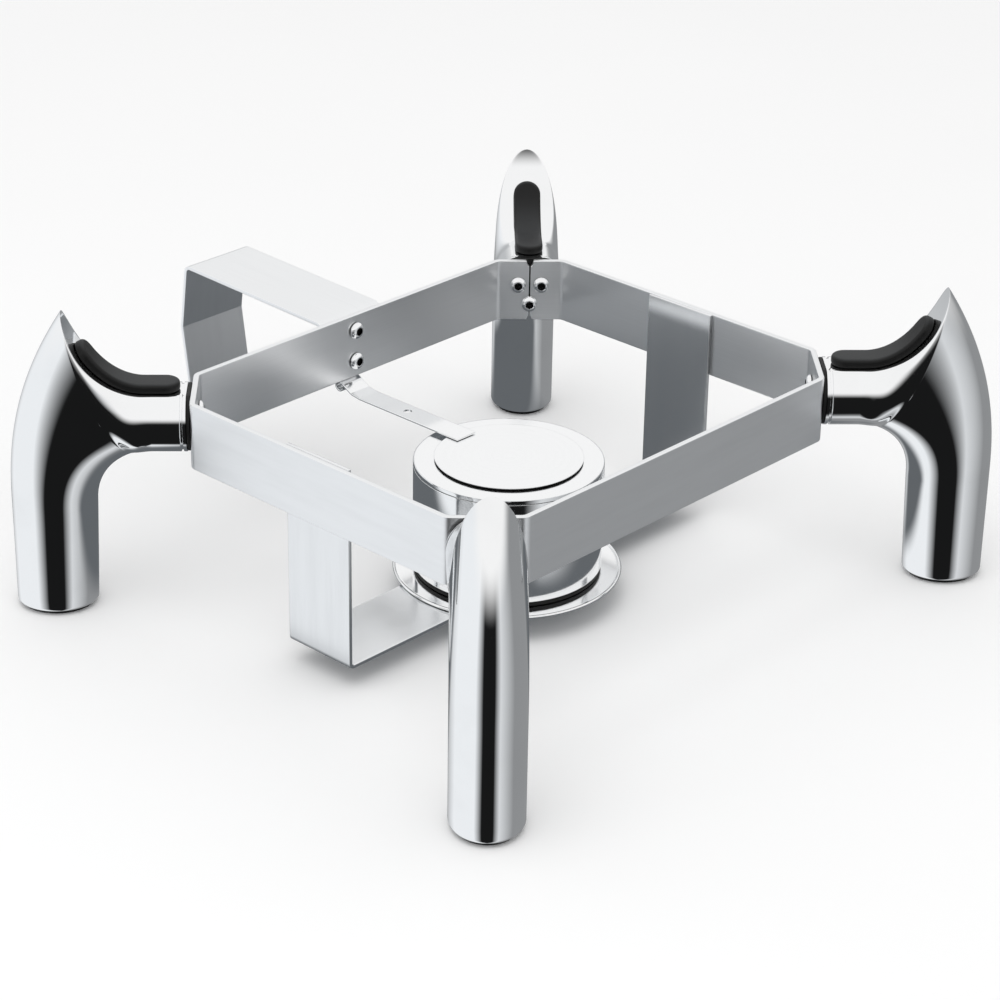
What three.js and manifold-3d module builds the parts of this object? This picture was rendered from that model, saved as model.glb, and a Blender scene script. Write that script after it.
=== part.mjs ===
// Chafing dish stand: a folded steel band on four horned legs, with a burner on a strap below it.
// Millimetres, +Z up. X runs along the longer side of the band and +Y to the rear.

import * as THREE from 'three';
import { mergeVertices } from 'three/addons/utils/BufferGeometryUtils.js';
import Module from 'manifold-3d';

const wasm = await Module();
wasm.setup();

// Fits
const SEAT_GAP = 0.3; // left between two pieces that touch
const HOLE_CLEARANCE = 0.3; // round a screw's shank, on the radius

// Frame band, one strip of sheet folded at eight places
const STAND_HEIGHT = 123; // floor to the band's upper edge
const FRAME_LENGTH = 284; // outside, along X
const FRAME_DEPTH = 236; // outside, along Y
const BAND_HEIGHT = 36;
const BAND_THICKNESS = 3;
const CORNER_CUT = 27.5; // what each corner takes off both sides
const BAND_FOLD_RADIUS = 3.5; // inside of a fold
const SEAM_GAP = 0.8; // where the two ends of the strip meet
const SEAM_TOP_NOTCH_WIDTH = 4.4;
const SEAM_TOP_NOTCH_DEPTH = 3.5;
const SEAM_BOTTOM_NOTCH_WIDTH = 2.8;
const SEAM_BOTTOM_NOTCH_DEPTH = 2.4;

// Burner strap, a U of flat bar inside the band
const STRAP_WIDTH = 44;
const STRAP_THICKNESS = 2;
const STRAP_FLOOR_GAP = 11.5; // floor to the underside of the strap
const STRAP_FOLD_RADIUS = 1.5;

// Rear bracket, a hook of sheet outside the rear side of the band
const BRACKET_WIDTH = 45;
const BRACKET_THICKNESS = 2;
const BRACKET_FOLD_RADIUS = 2.5;
const BRACKET_REACH = 111; // band's outer face to the hook's upper fold
const BRACKET_PLATE_SLOPE = 1.5; // degrees, up to the rear
const HOOK_UPPER_LENGTH = 38;
const HOOK_UPPER_LEAN = 7.5; // degrees outward from the plumb line
const HOOK_LOWER_LENGTH = 43;
const HOOK_LOWER_LEAN = 8.4; // degrees back inward
const BRACKET_SCREW_PITCH = 18;

// Screws and nuts
const SHANK_DIAMETER = 5;
const LEG_SCREW_LENGTH = 16; // under the head
const BRACKET_SCREW_LENGTH = 12;
const HEAD_DIAMETER = 9.5;
const HEAD_HEIGHT = 2.75;
const HEAD_CROWN_SHARE = 0.62; // of the head's radius, where its flat crown ends
const HEAD_RIM_SHARE = 0.4; // of the head's height, up its plain rim
const SOCKET_ACROSS_FLATS = 3;
const SOCKET_DEPTH = 1.6;
const NUT_ACROSS_FLATS = 8;
const NUT_HEIGHT = 4;
const LEG_SCREW_SPREAD = 13.2; // between the two upper screws of a leg
const UPPER_SCREW_RISE = 1; // above the middle of the leg's arm
const LOWER_SCREW_DROP = 10.5; // below the middle of the leg's arm

// Leg: x outward from the corner's outer face, z from the band's upper edge
const ARM_MARGIN = 2.6; // arm's underside above the band's lower edge
const ARM_CROWN = 2.4; // top of the arm's oval, above the flat that is cut on it
const ARM_SIDE_MARGIN = 0.9; // arm's width short of the corner's face
const ELBOW_START = 20; // where the underside turns down
const ELBOW_RADIUS = 30.5;
const LEG_REACH = 95.3; // outermost face of the post
const POST_WIDTH = 37;
const POST_TAPER = 2; // inner side of the post, outward towards the foot
const POST_EDGE_RADIUS = 2;
const HORN_REACH = 65; // place of the tip
const HORN_RISE = 43;
const HORN_WIDTH = 36.6;
const HORN_BELLY = 0.3; // where a horn section is widest, as a share from its inner side
const SWEEP_DROP = 60; // below the band's edge, where the outer side starts to sweep in
const SWEEP_POWER = 2.25;
const FACE_FLAT_END = 24; // end of the flat, start of the concave face
const FACE_RISE = 44;
const GROOVE_START = 4.2;
const GROOVE_WIDTH = 1.2;
const GROOVE_DEPTH = 0.8;

// Gasket, pad and foot of a leg
const GASKET_THICKNESS = 1.7;
const GASKET_INSET = 0.4;
const PAD_START = 5.6;
const PAD_WIDTH = 15.5;
const PAD_THICKNESS = 4.8;
const PAD_END_RISE = 24.5; // height on the concave face where the pad ends
const PAD_EDGE = 1.7; // slope on the pad's upper edges
const FOOT_INSET = 2.9; // foot smaller than the post all round
const FOOT_THICKNESS = 4;
const FOOT_STANDOFF = 2.2; // floor to the metal of the post
const FOOT_EDGE = 0.8;

// Burner
const BURNER_X = -3;
const BURNER_Y = -3;
const CAN_DIAMETER = 86; // fuel can that the burner is made round
const CAN_WALL = 0.8;
const CAN_ROOM = 6.3; // between the can and the casing
const CAN_HEADROOM = 2;
const CASING_WALL = 1.2;
const BASE_INSET = 2.5; // step in at the casing's foot
const BASE_HEIGHT = 2.6;
const PLATE_RIM = 10.9; // drip plate outside the casing
const PLATE_THICKNESS = 1.2;
const PLATE_BEAD = 0.6; // rolled edge above the plate
const CAP_SHEET = 1.2;
const CAP_RING_WIDTH = 14.5;
const CAP_SKIRT = 2.6;
const CAP_COLLAR = 3;
const CAP_LOCATING_LIP = 5;

// Snuffer lid: a disc with a strip as its arm
const DISC_OVERLAP = 3.5; // on the cap ring
const DISC_THICKNESS = 1.2;
const DISC_EDGE = 0.35;
const LID_ARM_WIDTH = 14;
const LID_ARM_THICKNESS = 1;
const LID_ARM_OVERLAP = 8.5; // on the disc
const LID_ARM_FOLD_RADIUS = 2;
const LID_ARM_HOLE_DIAMETER = 4.5;
const LID_ARM_HOLE_PLACE = 44; // from the arm's inner end
const LID_TAIL_LENGTH = 15.5; // from the level part's end to the band's outer face
const LID_FIRST_RISE = 8; // degrees
const LID_FIRST_LENGTH = 6.5;
const LID_SECOND_RISE = 28.5; // degrees
const LID_SECOND_LENGTH = 9.2;
const HEM_RADIUS = 3.2; // outside of the rolled end
const HEM_TURN = 280; // degrees
const LID_PASS_GAP = 1; // rolled end under the band's lower edge

// How finely round shapes are stepped
const SECTION_STEPS = 20; // round a section of a leg
const TURNED_STEPS = 36; // round the burner
const HOLE_STEPS = 12;
const FOOT_STEPS = 24;
const FOLD_STEP = Math.PI / 10;
const FACE_STEPS = 14;
const CUT_OVERRUN = 1; // how far a cutting shape passes the piece

// Sizes that follow from the ones above
const BAND_BOTTOM = STAND_HEIGHT - BAND_HEIGHT;
const CORNER_FACE_WIDTH = CORNER_CUT * Math.SQRT2;
const ARM_UNDERSIDE = ARM_MARGIN - BAND_HEIGHT;
const ARM_MIDDLE = (ARM_UNDERSIDE + ARM_CROWN) / 2;
const ARM_WIDTH = CORNER_FACE_WIDTH - ARM_SIDE_MARGIN;
const LEG_START = GASKET_THICKNESS + 2 * SEAT_GAP;
const SHANK_TIP = LEG_SCREW_LENGTH - BAND_THICKNESS - SEAT_GAP;
const HOLE_RADIUS = SHANK_DIAMETER / 2 + HOLE_CLEARANCE;
const FACE_REACH = HORN_REACH - FACE_FLAT_END;
const POST_INNER_FOOT = ELBOW_START + ELBOW_RADIUS + POST_TAPER;
const POST_MIDDLE = (POST_INNER_FOOT + LEG_REACH) / 2;
const FOOT_X_RADIUS = (LEG_REACH - POST_INNER_FOOT) / 2 - FOOT_INSET;
const FOOT_Y_RADIUS = POST_WIDTH / 2 - FOOT_INSET;
const STRAP_TOP = STRAP_FLOOR_GAP + STRAP_THICKNESS;
const CAN_RADIUS = CAN_DIAMETER / 2;
const CASING_RADIUS = CAN_RADIUS + CAN_ROOM + CASING_WALL;
const CAP_OPENING_RADIUS = CASING_RADIUS - CAP_RING_WIDTH;
const DISC_RADIUS = CAP_OPENING_RADIUS + DISC_OVERLAP;

// Finishes
function finish(colour, roughness, metalness) {
  return new THREE.MeshStandardMaterial({ color: colour, roughness, metalness });
}
const polishedLeg = () => finish(0xd6d8da, 0.05, 1);
const bandSteel = () => finish(0xb4b8bd, 0.18, 1);
const strapSteel = () => finish(0xa9adb2, 0.22, 1);
const burnerSteel = () => finish(0xcfd2d5, 0.12, 1);
const screwSteel = () => finish(0xc4c6c8, 0.15, 1);
const blackRubber = () => finish(0x141516, 0.55, 0);
const blackPad = () => finish(0x1b1c1e, 0.38, 0);
const tinnedCan = () => finish(0xb9b4a6, 0.3, 1);

// Solids

const degrees = THREE.MathUtils.degToRad;

function toSolid(geometry) {
  const bare = geometry.clone();
  bare.deleteAttribute('normal');
  bare.deleteAttribute('uv');
  const merged = mergeVertices(bare, 1e-4);
  const corners = merged.index.array;
  const faces = [];
  for (let i = 0; i < corners.length; i += 3) {
    const [a, b, c] = corners.subarray(i, i + 3);
    if (a !== b && b !== c && c !== a) {
      faces.push(a, b, c);
    }
  }
  return new wasm.Manifold(new wasm.Mesh({
    numProp: 3,
    vertProperties: new Float32Array(merged.attributes.position.array),
    triVerts: new Uint32Array(faces),
  }));
}

function toGeometry(solid) {
  const mesh = solid.getMesh();
  const geometry = new THREE.BufferGeometry();
  geometry.setAttribute('position', new THREE.BufferAttribute(mesh.vertProperties, 3));
  geometry.setIndex(new THREE.BufferAttribute(mesh.triVerts, 1));
  geometry.computeVertexNormals();
  return geometry;
}

function cut(geometry, cutters) {
  const solid = cutters.reduce((rest, cutter) => rest.subtract(toSolid(cutter)), toSolid(geometry));
  return toGeometry(solid);
}

// Closed body through rings of equally many points, with a flat cap on the first and the last.
// Each ring turns counter-clockwise when it is seen from the ring after it.
function loft(rings) {
  const count = rings[0].length;
  const index = [];
  for (let i = 0; i + 1 < rings.length; i += 1) {
    for (let j = 0; j < count; j += 1) {
      const a = i * count + j;
      const b = i * count + (j + 1) % count;
      index.push(a, b, b + count);
      index.push(a, b + count, a + count);
    }
  }
  const last = (rings.length - 1) * count;
  for (let j = 1; j + 1 < count; j += 1) {
    index.push(0, j + 1, j);
    index.push(last, last + j, last + j + 1);
  }
  const geometry = new THREE.BufferGeometry().setFromPoints(rings.flat());
  geometry.setIndex(index);
  geometry.computeVertexNormals();
  return geometry;
}

// Turned body: the profile lists (radius, height), upward along its outer side.
function turned(profile, steps) {
  const points = profile.map(([radius, height]) => new THREE.Vector2(radius, height));
  return new THREE.LatheGeometry(points, steps).rotateX(Math.PI / 2);
}

function turnedRing(profile, steps) {
  return turned([...profile, profile[0]], steps);
}

// Profile drawn in X and Z, as wide as given along Y and centred there.
function extrudeAlongY(shape, width) {
  const geometry = new THREE.ExtrudeGeometry(shape, { depth: width, bevelEnabled: false });
  return geometry.rotateX(Math.PI / 2).translate(0, width / 2, 0);
}

// Profile drawn in Y and Z, as wide as given along X and centred there.
function extrudeAlongX(shape, width) {
  const geometry = new THREE.ExtrudeGeometry(shape, { depth: width, bevelEnabled: false });
  const axes = [new THREE.Vector3(0, 1, 0), new THREE.Vector3(0, 0, 1), new THREE.Vector3(1, 0, 0)];
  geometry.applyMatrix4(new THREE.Matrix4().makeBasis(...axes));
  return geometry.translate(-width / 2, 0, 0);
}

function rodAlongX(radius, from, to, y, z, steps = HOLE_STEPS) {
  const rod = new THREE.CylinderGeometry(radius, radius, to - from, steps).rotateZ(Math.PI / 2);
  return rod.translate((from + to) / 2, y, z);
}

function rodAlongY(radius, from, to, x, z) {
  const rod = new THREE.CylinderGeometry(radius, radius, to - from, HOLE_STEPS);
  return rod.translate(x, (from + to) / 2, z);
}

function ellipseRing(centreX, radiusX, radiusY, z, steps) {
  return Array.from({ length: steps }, (_, i) => {
    const angle = 2 * Math.PI * i / steps;
    return new THREE.Vector3(centreX + radiusX * Math.cos(angle), radiusY * Math.sin(angle), z);
  });
}

// Folded sheet

// Places on an arc that starts at a place and turns left by an angle, or right if it is negative.
function arcFrom(start, turn, radius) {
  const side = Math.sign(turn);
  const centreX = start.x - side * radius * Math.sin(start.heading);
  const centreY = start.y + side * radius * Math.cos(start.heading);
  const steps = Math.max(1, Math.ceil(Math.abs(turn) / FOLD_STEP));
  return Array.from({ length: steps + 1 }, (_, i) => {
    const heading = start.heading + turn * i / steps;
    return {
      x: centreX + side * radius * Math.sin(heading),
      y: centreY - side * radius * Math.cos(heading),
      heading,
    };
  });
}

// Middle line of a folded strip: straight between the corners, with an arc at each fold.
function foldedRoute(corners, foldRadius) {
  const headings = corners.slice(1).map((corner, i) => {
    return Math.atan2(corner[1] - corners[i][1], corner[0] - corners[i][0]);
  });
  const route = [{ x: corners[0][0], y: corners[0][1], heading: headings[0] }];
  for (let i = 1; i < headings.length; i += 1) {
    const before = headings[i - 1];
    const difference = headings[i] - before;
    const turn = Math.atan2(Math.sin(difference), Math.cos(difference));
    const setback = foldRadius * Math.tan(Math.abs(turn) / 2);
    const start = {
      x: corners[i][0] - setback * Math.cos(before),
      y: corners[i][1] - setback * Math.sin(before),
      heading: before,
    };
    route.push(...arcFrom(start, turn, foldRadius));
  }
  const end = corners.at(-1);
  route.push({ x: end[0], y: end[1], heading: headings.at(-1) });
  return route;
}

function stripShape(route, thickness) {
  const side = (place, offset) => new THREE.Vector2(
    place.x - offset * Math.sin(place.heading),
    place.y + offset * Math.cos(place.heading),
  );
  const left = route.map((place) => side(place, thickness / 2));
  const right = route.map((place) => side(place, -thickness / 2)).reverse();
  return new THREE.Shape([...right.reverse(), ...left.reverse()]);
}

// Corner faces: where each leg joins, and the way it points
const FACE_X = (FRAME_LENGTH - CORNER_CUT) / 2;
const FACE_Y = (FRAME_DEPTH - CORNER_CUT) / 2;
const CORNERS = [
  { name: 'rear_left', x: -FACE_X, y: FACE_Y },
  { name: 'rear_right', x: FACE_X, y: FACE_Y },
  { name: 'front_right', x: FACE_X, y: -FACE_Y },
  { name: 'front_left', x: -FACE_X, y: -FACE_Y },
];
for (const corner of CORNERS) {
  corner.heading = Math.atan2(Math.sign(corner.y), Math.sign(corner.x));
}

function toCorner(geometry, corner) {
  return geometry.rotateZ(corner.heading).translate(corner.x, corner.y, STAND_HEIGHT);
}

// Places of a leg's three screws, as (y, z) on the corner's face.
const LEG_SCREWS = [
  [-LEG_SCREW_SPREAD / 2, ARM_MIDDLE + UPPER_SCREW_RISE],
  [LEG_SCREW_SPREAD / 2, ARM_MIDDLE + UPPER_SCREW_RISE],
  [0, ARM_MIDDLE - LOWER_SCREW_DROP],
];
const BAND_MIDDLE = STAND_HEIGHT - BAND_HEIGHT / 2;
const BRACKET_SCREW_HEIGHTS = {
  upper: BAND_MIDDLE + BRACKET_SCREW_PITCH / 2,
  lower: BAND_MIDDLE - BRACKET_SCREW_PITCH / 2,
};

// Frame band

// Middle line of the band, once round from one end at the seam to the other.
function bandRoute() {
  const halfX = FRAME_LENGTH / 2 - BAND_THICKNESS / 2;
  const halfY = FRAME_DEPTH / 2 - BAND_THICKNESS / 2;
  const cutLine = CORNER_CUT - BAND_THICKNESS * (1 - Math.SQRT1_2);
  const seamX = FACE_X - BAND_THICKNESS / 2 * Math.SQRT1_2;
  const seamY = FACE_Y - BAND_THICKNESS / 2 * Math.SQRT1_2;
  const halfGap = SEAM_GAP / 2 * Math.SQRT1_2;
  const corners = [
    [seamX - halfGap, seamY + halfGap],
    [halfX - cutLine, halfY],
    [cutLine - halfX, halfY],
    [-halfX, halfY - cutLine],
    [-halfX, cutLine - halfY],
    [cutLine - halfX, -halfY],
    [halfX - cutLine, -halfY],
    [halfX, cutLine - halfY],
    [halfX, halfY - cutLine],
    [seamX + halfGap, seamY - halfGap],
  ];
  return foldedRoute(corners, BAND_FOLD_RADIUS + BAND_THICKNESS / 2);
}

// Wedge through the band at the seam: its base passes the edge, its point lies in the sheet.
function seamNotch(width, edge, point) {
  const beyond = edge + Math.sign(edge - point) * CUT_OVERRUN;
  const half = width / 2 * (beyond - point) / (edge - point);
  const outline = [[-half, beyond], [half, beyond], [0, point]];
  const shape = new THREE.Shape(outline.map(([y, z]) => new THREE.Vector2(y, z)));
  return extrudeAlongX(shape, 4 * BAND_THICKNESS);
}

function frameBand() {
  const outline = stripShape(bandRoute(), BAND_THICKNESS);
  const sheet = new THREE.ExtrudeGeometry(outline, { depth: BAND_HEIGHT, bevelEnabled: false });
  sheet.translate(0, 0, BAND_BOTTOM);
  const cutters = [];
  for (const corner of CORNERS) {
    for (const [y, z] of LEG_SCREWS) {
      const bore = rodAlongX(HOLE_RADIUS, -BAND_THICKNESS - CUT_OVERRUN, CUT_OVERRUN, y, z);
      cutters.push(toCorner(bore, corner));
    }
  }
  const outside = FRAME_DEPTH / 2;
  for (const height of Object.values(BRACKET_SCREW_HEIGHTS)) {
    const from = outside - BAND_THICKNESS - CUT_OVERRUN;
    cutters.push(rodAlongY(HOLE_RADIUS, from, outside + CUT_OVERRUN, 0, height));
  }
  const topNotch = seamNotch(SEAM_TOP_NOTCH_WIDTH, 0, -SEAM_TOP_NOTCH_DEPTH);
  const bottomEdge = -BAND_HEIGHT;
  const bottomNotch = seamNotch(
    SEAM_BOTTOM_NOTCH_WIDTH,
    bottomEdge,
    bottomEdge + SEAM_BOTTOM_NOTCH_DEPTH,
  );
  const seamCorner = CORNERS.find((corner) => corner.name === 'rear_right');
  cutters.push(toCorner(topNotch, seamCorner), toCorner(bottomNotch, seamCorner));
  return cut(sheet, cutters);
}

// Burner strap

function burnerStrap() {
  const upright = FRAME_LENGTH / 2 - BAND_THICKNESS - SEAT_GAP - STRAP_THICKNESS / 2;
  const level = STRAP_FLOOR_GAP + STRAP_THICKNESS / 2;
  const corners = [
    [-upright, STAND_HEIGHT],
    [-upright, level],
    [upright, level],
    [upright, STAND_HEIGHT],
  ];
  const route = foldedRoute(corners, STRAP_FOLD_RADIUS + STRAP_THICKNESS / 2);
  return extrudeAlongY(stripShape(route, STRAP_THICKNESS), STRAP_WIDTH);
}

// Rear bracket

function rearBracket() {
  const outside = FRAME_DEPTH / 2;
  const tab = outside + SEAT_GAP + BRACKET_THICKNESS / 2;
  const plateStart = STAND_HEIGHT - BRACKET_THICKNESS / 2;
  const upperFold = [
    outside + BRACKET_REACH,
    plateStart + BRACKET_REACH * Math.tan(degrees(BRACKET_PLATE_SLOPE)),
  ];
  const lowerFold = [
    upperFold[0] + HOOK_UPPER_LENGTH * Math.sin(degrees(HOOK_UPPER_LEAN)),
    upperFold[1] - HOOK_UPPER_LENGTH * Math.cos(degrees(HOOK_UPPER_LEAN)),
  ];
  const freeEnd = [
    lowerFold[0] - HOOK_LOWER_LENGTH * Math.sin(degrees(HOOK_LOWER_LEAN)),
    lowerFold[1] - HOOK_LOWER_LENGTH * Math.cos(degrees(HOOK_LOWER_LEAN)),
  ];
  const corners = [[tab, BAND_BOTTOM], [tab, plateStart], upperFold, lowerFold, freeEnd];
  const route = foldedRoute(corners, BRACKET_FOLD_RADIUS + BRACKET_THICKNESS / 2);
  const sheet = extrudeAlongX(stripShape(route, BRACKET_THICKNESS), BRACKET_WIDTH);
  const holes = Object.values(BRACKET_SCREW_HEIGHTS).map((height) => {
    return rodAlongY(HOLE_RADIUS, outside - CUT_OVERRUN, tab + 2 * BRACKET_THICKNESS, 0, height);
  });
  return cut(sheet, holes);
}

// Screws and nuts

// Button-head screw along +X, with the underside of its head at the origin.
function screw(length) {
  const head = HEAD_DIAMETER / 2;
  const shank = SHANK_DIAMETER / 2;
  const body = turned([
    [0, -HEAD_HEIGHT],
    [HEAD_CROWN_SHARE * head, -HEAD_HEIGHT],
    [head, -HEAD_RIM_SHARE * HEAD_HEIGHT],
    [head, 0],
    [shank, 0],
    [shank, length],
    [0, length],
  ], HOLE_STEPS).rotateY(Math.PI / 2);
  const socketRadius = SOCKET_ACROSS_FLATS / Math.sqrt(3);
  const socketEnd = SOCKET_DEPTH - HEAD_HEIGHT;
  const socket = rodAlongX(socketRadius, -HEAD_HEIGHT - CUT_OVERRUN, socketEnd, 0, 0, 6);
  return cut(body, [socket]);
}

// Hexagon nut with its axis along Y, lying from the origin towards +Y.
function nut() {
  const radius = NUT_ACROSS_FLATS / Math.sqrt(3);
  const body = new THREE.CylinderGeometry(radius, radius, NUT_HEIGHT, 6);
  body.translate(0, NUT_HEIGHT / 2, 0);
  const bore = rodAlongY(HOLE_RADIUS, -CUT_OVERRUN, NUT_HEIGHT + CUT_OVERRUN, 0, 0);
  return cut(body, [bore]);
}

// Leg

// Outer side of the leg, as the reach at a height: plumb below, then swept in to the horn's tip.
function outerReach(z) {
  const rise = Math.max(0, z + SWEEP_DROP) / (HORN_RISE + SWEEP_DROP);
  return LEG_REACH - (LEG_REACH - HORN_REACH) * rise ** SWEEP_POWER;
}

const ELBOW_CENTRE_Z = ARM_UNDERSIDE - ELBOW_RADIUS;
const TIP_ANGLE = Math.atan2(HORN_RISE - ELBOW_CENTRE_Z, HORN_REACH - ELBOW_START);

// A station is a flat section of the leg between a point on its inner side and one on its outer side.
function station(inner, outer, halfWidth, belly, inset = 0) {
  const along = outer.clone().sub(inner).normalize();
  return {
    inner: inner.clone().addScaledVector(along, inset),
    outer: outer.clone().addScaledVector(along, -inset),
    halfWidth: halfWidth - inset,
    belly,
  };
}

// Sections round the elbow lie on rays from its centre. Near the tip they are widest low down.
function elbowStation(outer) {
  const angle = Math.atan2(outer.y - ELBOW_CENTRE_Z, outer.x - ELBOW_START);
  const inner = new THREE.Vector2(
    ELBOW_START + ELBOW_RADIUS * Math.cos(angle),
    ELBOW_CENTRE_Z + ELBOW_RADIUS * Math.sin(angle),
  );
  const onArmSide = angle > TIP_ANGLE;
  const span = onArmSide ? Math.PI / 2 - TIP_ANGLE : TIP_ANGLE;
  const fromTip = Math.abs(angle - TIP_ANGLE) / span;
  const blend = THREE.MathUtils.smoothstep(fromTip, 0, 1);
  const farWidth = (onArmSide ? ARM_WIDTH : POST_WIDTH) / 2;
  const halfWidth = THREE.MathUtils.lerp(HORN_WIDTH / 2, farWidth, blend);
  return station(inner, outer, halfWidth, THREE.MathUtils.lerp(HORN_BELLY, 0.5, blend));
}

function armStations() {
  const grooveEnd = GROOVE_START + GROOVE_WIDTH;
  const wall = 0.15 * GROOVE_WIDTH;
  const places = [
    [LEG_START, 0],
    [GROOVE_START, 0],
    [GROOVE_START + wall, GROOVE_DEPTH],
    [grooveEnd - wall, GROOVE_DEPTH],
    [grooveEnd, 0],
    [(grooveEnd + ELBOW_START) / 2, 0],
  ];
  return places.map(([x, inset]) => {
    const inner = new THREE.Vector2(x, ARM_UNDERSIDE);
    const outer = new THREE.Vector2(x, ARM_CROWN);
    return station(inner, outer, ARM_WIDTH / 2, 0.5, inset);
  });
}

function hornStations() {
  const crown = new THREE.Vector2(ELBOW_START, ARM_CROWN);
  const tip = new THREE.Vector2(HORN_REACH, HORN_RISE);
  const upTheHorn = [0, 0.25, 0.5, 0.75, 0.92, 1].map((share) => {
    return elbowStation(crown.clone().lerp(tip, share));
  });
  const steps = 9;
  const downTheBack = Array.from({ length: steps }, (_, i) => {
    const share = ((i + 1) / steps) ** 1.25;
    const z = THREE.MathUtils.lerp(HORN_RISE, ELBOW_CENTRE_Z, share);
    return elbowStation(new THREE.Vector2(outerReach(z), z));
  });
  return [...upTheHorn, ...downTheBack];
}

function postStations() {
  const top = ELBOW_CENTRE_Z;
  const bottom = FOOT_STANDOFF - STAND_HEIGHT;
  const innerReach = (z) => POST_INNER_FOOT - POST_TAPER * (z - bottom) / (top - bottom);
  const at = (z, inset) => {
    const inner = new THREE.Vector2(innerReach(z), z);
    const outer = new THREE.Vector2(outerReach(z), z);
    return station(inner, outer, POST_WIDTH / 2, 0.5, inset);
  };
  const edge = POST_EDGE_RADIUS;
  const roundedEdge = [0, 30, 60, 90].map(degrees).map((angle) => {
    return at(bottom + edge * (1 - Math.sin(angle)), edge * (1 - Math.cos(angle)));
  });
  return [at((top + bottom) / 2, 0), ...roundedEdge];
}

// Ring of a station: an egg that is widest at the belly's share of the way outward.
function stationRing({ inner, outer, halfWidth, belly }) {
  const length = inner.distanceTo(outer);
  const along = outer.clone().sub(inner).normalize();
  return Array.from({ length: SECTION_STEPS }, (_, i) => {
    const angle = 2 * Math.PI * i / SECTION_STEPS;
    const reach = Math.sin(angle) < 0 ? belly * length : (1 - belly) * length;
    const place = inner.clone().addScaledVector(along, belly * length + reach * Math.sin(angle));
    return new THREE.Vector3(place.x, halfWidth * Math.cos(angle), place.y);
  });
}

// Point of the concave face, lifted off it by a distance, for an angle from its lowest line.
function facePoint(angle, lift) {
  return new THREE.Vector2(
    FACE_FLAT_END + (FACE_REACH - lift) * Math.sin(angle),
    FACE_RISE - (FACE_RISE - lift) * Math.cos(angle),
  );
}

// What the flat and the concave face take off the top of the leg.
function faceCutter() {
  const above = FACE_RISE + 2 * PAD_END_RISE;
  const curve = Array.from({ length: FACE_STEPS + 1 }, (_, i) => {
    return facePoint(Math.PI / 2 * i / FACE_STEPS, 0);
  });
  const outline = [
    new THREE.Vector2(-CUT_OVERRUN, 0),
    ...curve,
    new THREE.Vector2(HORN_REACH, above),
    new THREE.Vector2(-CUT_OVERRUN, above),
  ];
  return extrudeAlongY(new THREE.Shape(outline), 2 * POST_WIDTH);
}

function footCutter() {
  const ring = (z) => ellipseRing(
    POST_MIDDLE,
    FOOT_X_RADIUS + HOLE_CLEARANCE,
    FOOT_Y_RADIUS + HOLE_CLEARANCE,
    z - STAND_HEIGHT,
    FOOT_STEPS,
  );
  return loft([ring(0), ring(FOOT_THICKNESS + SEAT_GAP)]);
}

function screwBores(from, to) {
  return LEG_SCREWS.map(([y, z]) => rodAlongX(HOLE_RADIUS, from, to, y, z));
}

function leg() {
  const rings = [...armStations(), ...hornStations(), ...postStations()].map(stationRing);
  const bores = screwBores(LEG_START - CUT_OVERRUN, SHANK_TIP + CUT_OVERRUN);
  return cut(loft(rings), [faceCutter(), footCutter(), ...bores]);
}

function gasket() {
  const ring = (x) => stationRing(station(
    new THREE.Vector2(x, ARM_UNDERSIDE),
    new THREE.Vector2(x, ARM_CROWN),
    ARM_WIDTH / 2,
    0.5,
    GASKET_INSET,
  ));
  const slab = loft([ring(SEAT_GAP), ring(SEAT_GAP + GASKET_THICKNESS)]);
  return cut(slab, [faceCutter(), ...screwBores(-CUT_OVERRUN, LEG_START + CUT_OVERRUN)]);
}

// Pad on the flat and the concave face, followed from the gasket's side up to the horn.
function pad() {
  const endAngle = Math.acos(1 - PAD_END_RISE / FACE_RISE);
  const flat = FACE_FLAT_END - PAD_START;
  const curve = endAngle * (FACE_REACH + FACE_RISE) / 2;
  const total = flat + curve;
  const place = (distance) => {
    if (distance < flat) {
      const foot = new THREE.Vector2(PAD_START + distance, SEAT_GAP);
      return { foot, up: new THREE.Vector2(0, 1) };
    }
    const angle = endAngle * (distance - flat) / curve;
    const up = new THREE.Vector2(-Math.sin(angle) / FACE_REACH, Math.cos(angle) / FACE_RISE);
    return { foot: facePoint(angle, SEAT_GAP), up: up.normalize() };
  };
  const half = PAD_WIDTH / 2;
  const ring = (distance) => {
    const toEnd = Math.min(distance, total - distance);
    const share = Math.min(1, toEnd / half);
    const rounding = Math.sqrt(1 - (1 - share) ** 2);
    const width = half * (0.35 + 0.65 * rounding);
    const height = PAD_THICKNESS * (0.5 + 0.5 * rounding);
    const { foot, up } = place(distance);
    const outline = [
      [width - 0.4 * PAD_EDGE, 0],
      [width, 0.4 * PAD_EDGE],
      [width, height - PAD_EDGE],
      [width - PAD_EDGE, height],
      [PAD_EDGE - width, height],
      [-width, height - PAD_EDGE],
      [-width, 0.4 * PAD_EDGE],
      [0.4 * PAD_EDGE - width, 0],
    ];
    return outline.map(([across, lift]) => {
      return new THREE.Vector3(foot.x + up.x * lift, across, foot.y + up.y * lift);
    });
  };
  const endShares = [0, 0.12, 0.35, 0.7, 1];
  const starts = endShares.map((share) => share * half);
  const curveSteps = 8;
  const middles = Array.from({ length: curveSteps }, (_, i) => {
    return flat + (curve - half) * i / curveSteps;
  });
  const ends = endShares.map((share) => total - share * half).reverse();
  return loft([...starts, ...middles, ...ends].map(ring));
}

function foot() {
  const ring = (z, inset) => ellipseRing(
    POST_MIDDLE,
    FOOT_X_RADIUS - inset,
    FOOT_Y_RADIUS - inset,
    z - STAND_HEIGHT,
    FOOT_STEPS,
  );
  return loft([ring(0, FOOT_EDGE), ring(FOOT_EDGE, 0), ring(FOOT_THICKNESS, 0)]);
}

// Snuffer lid

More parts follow.
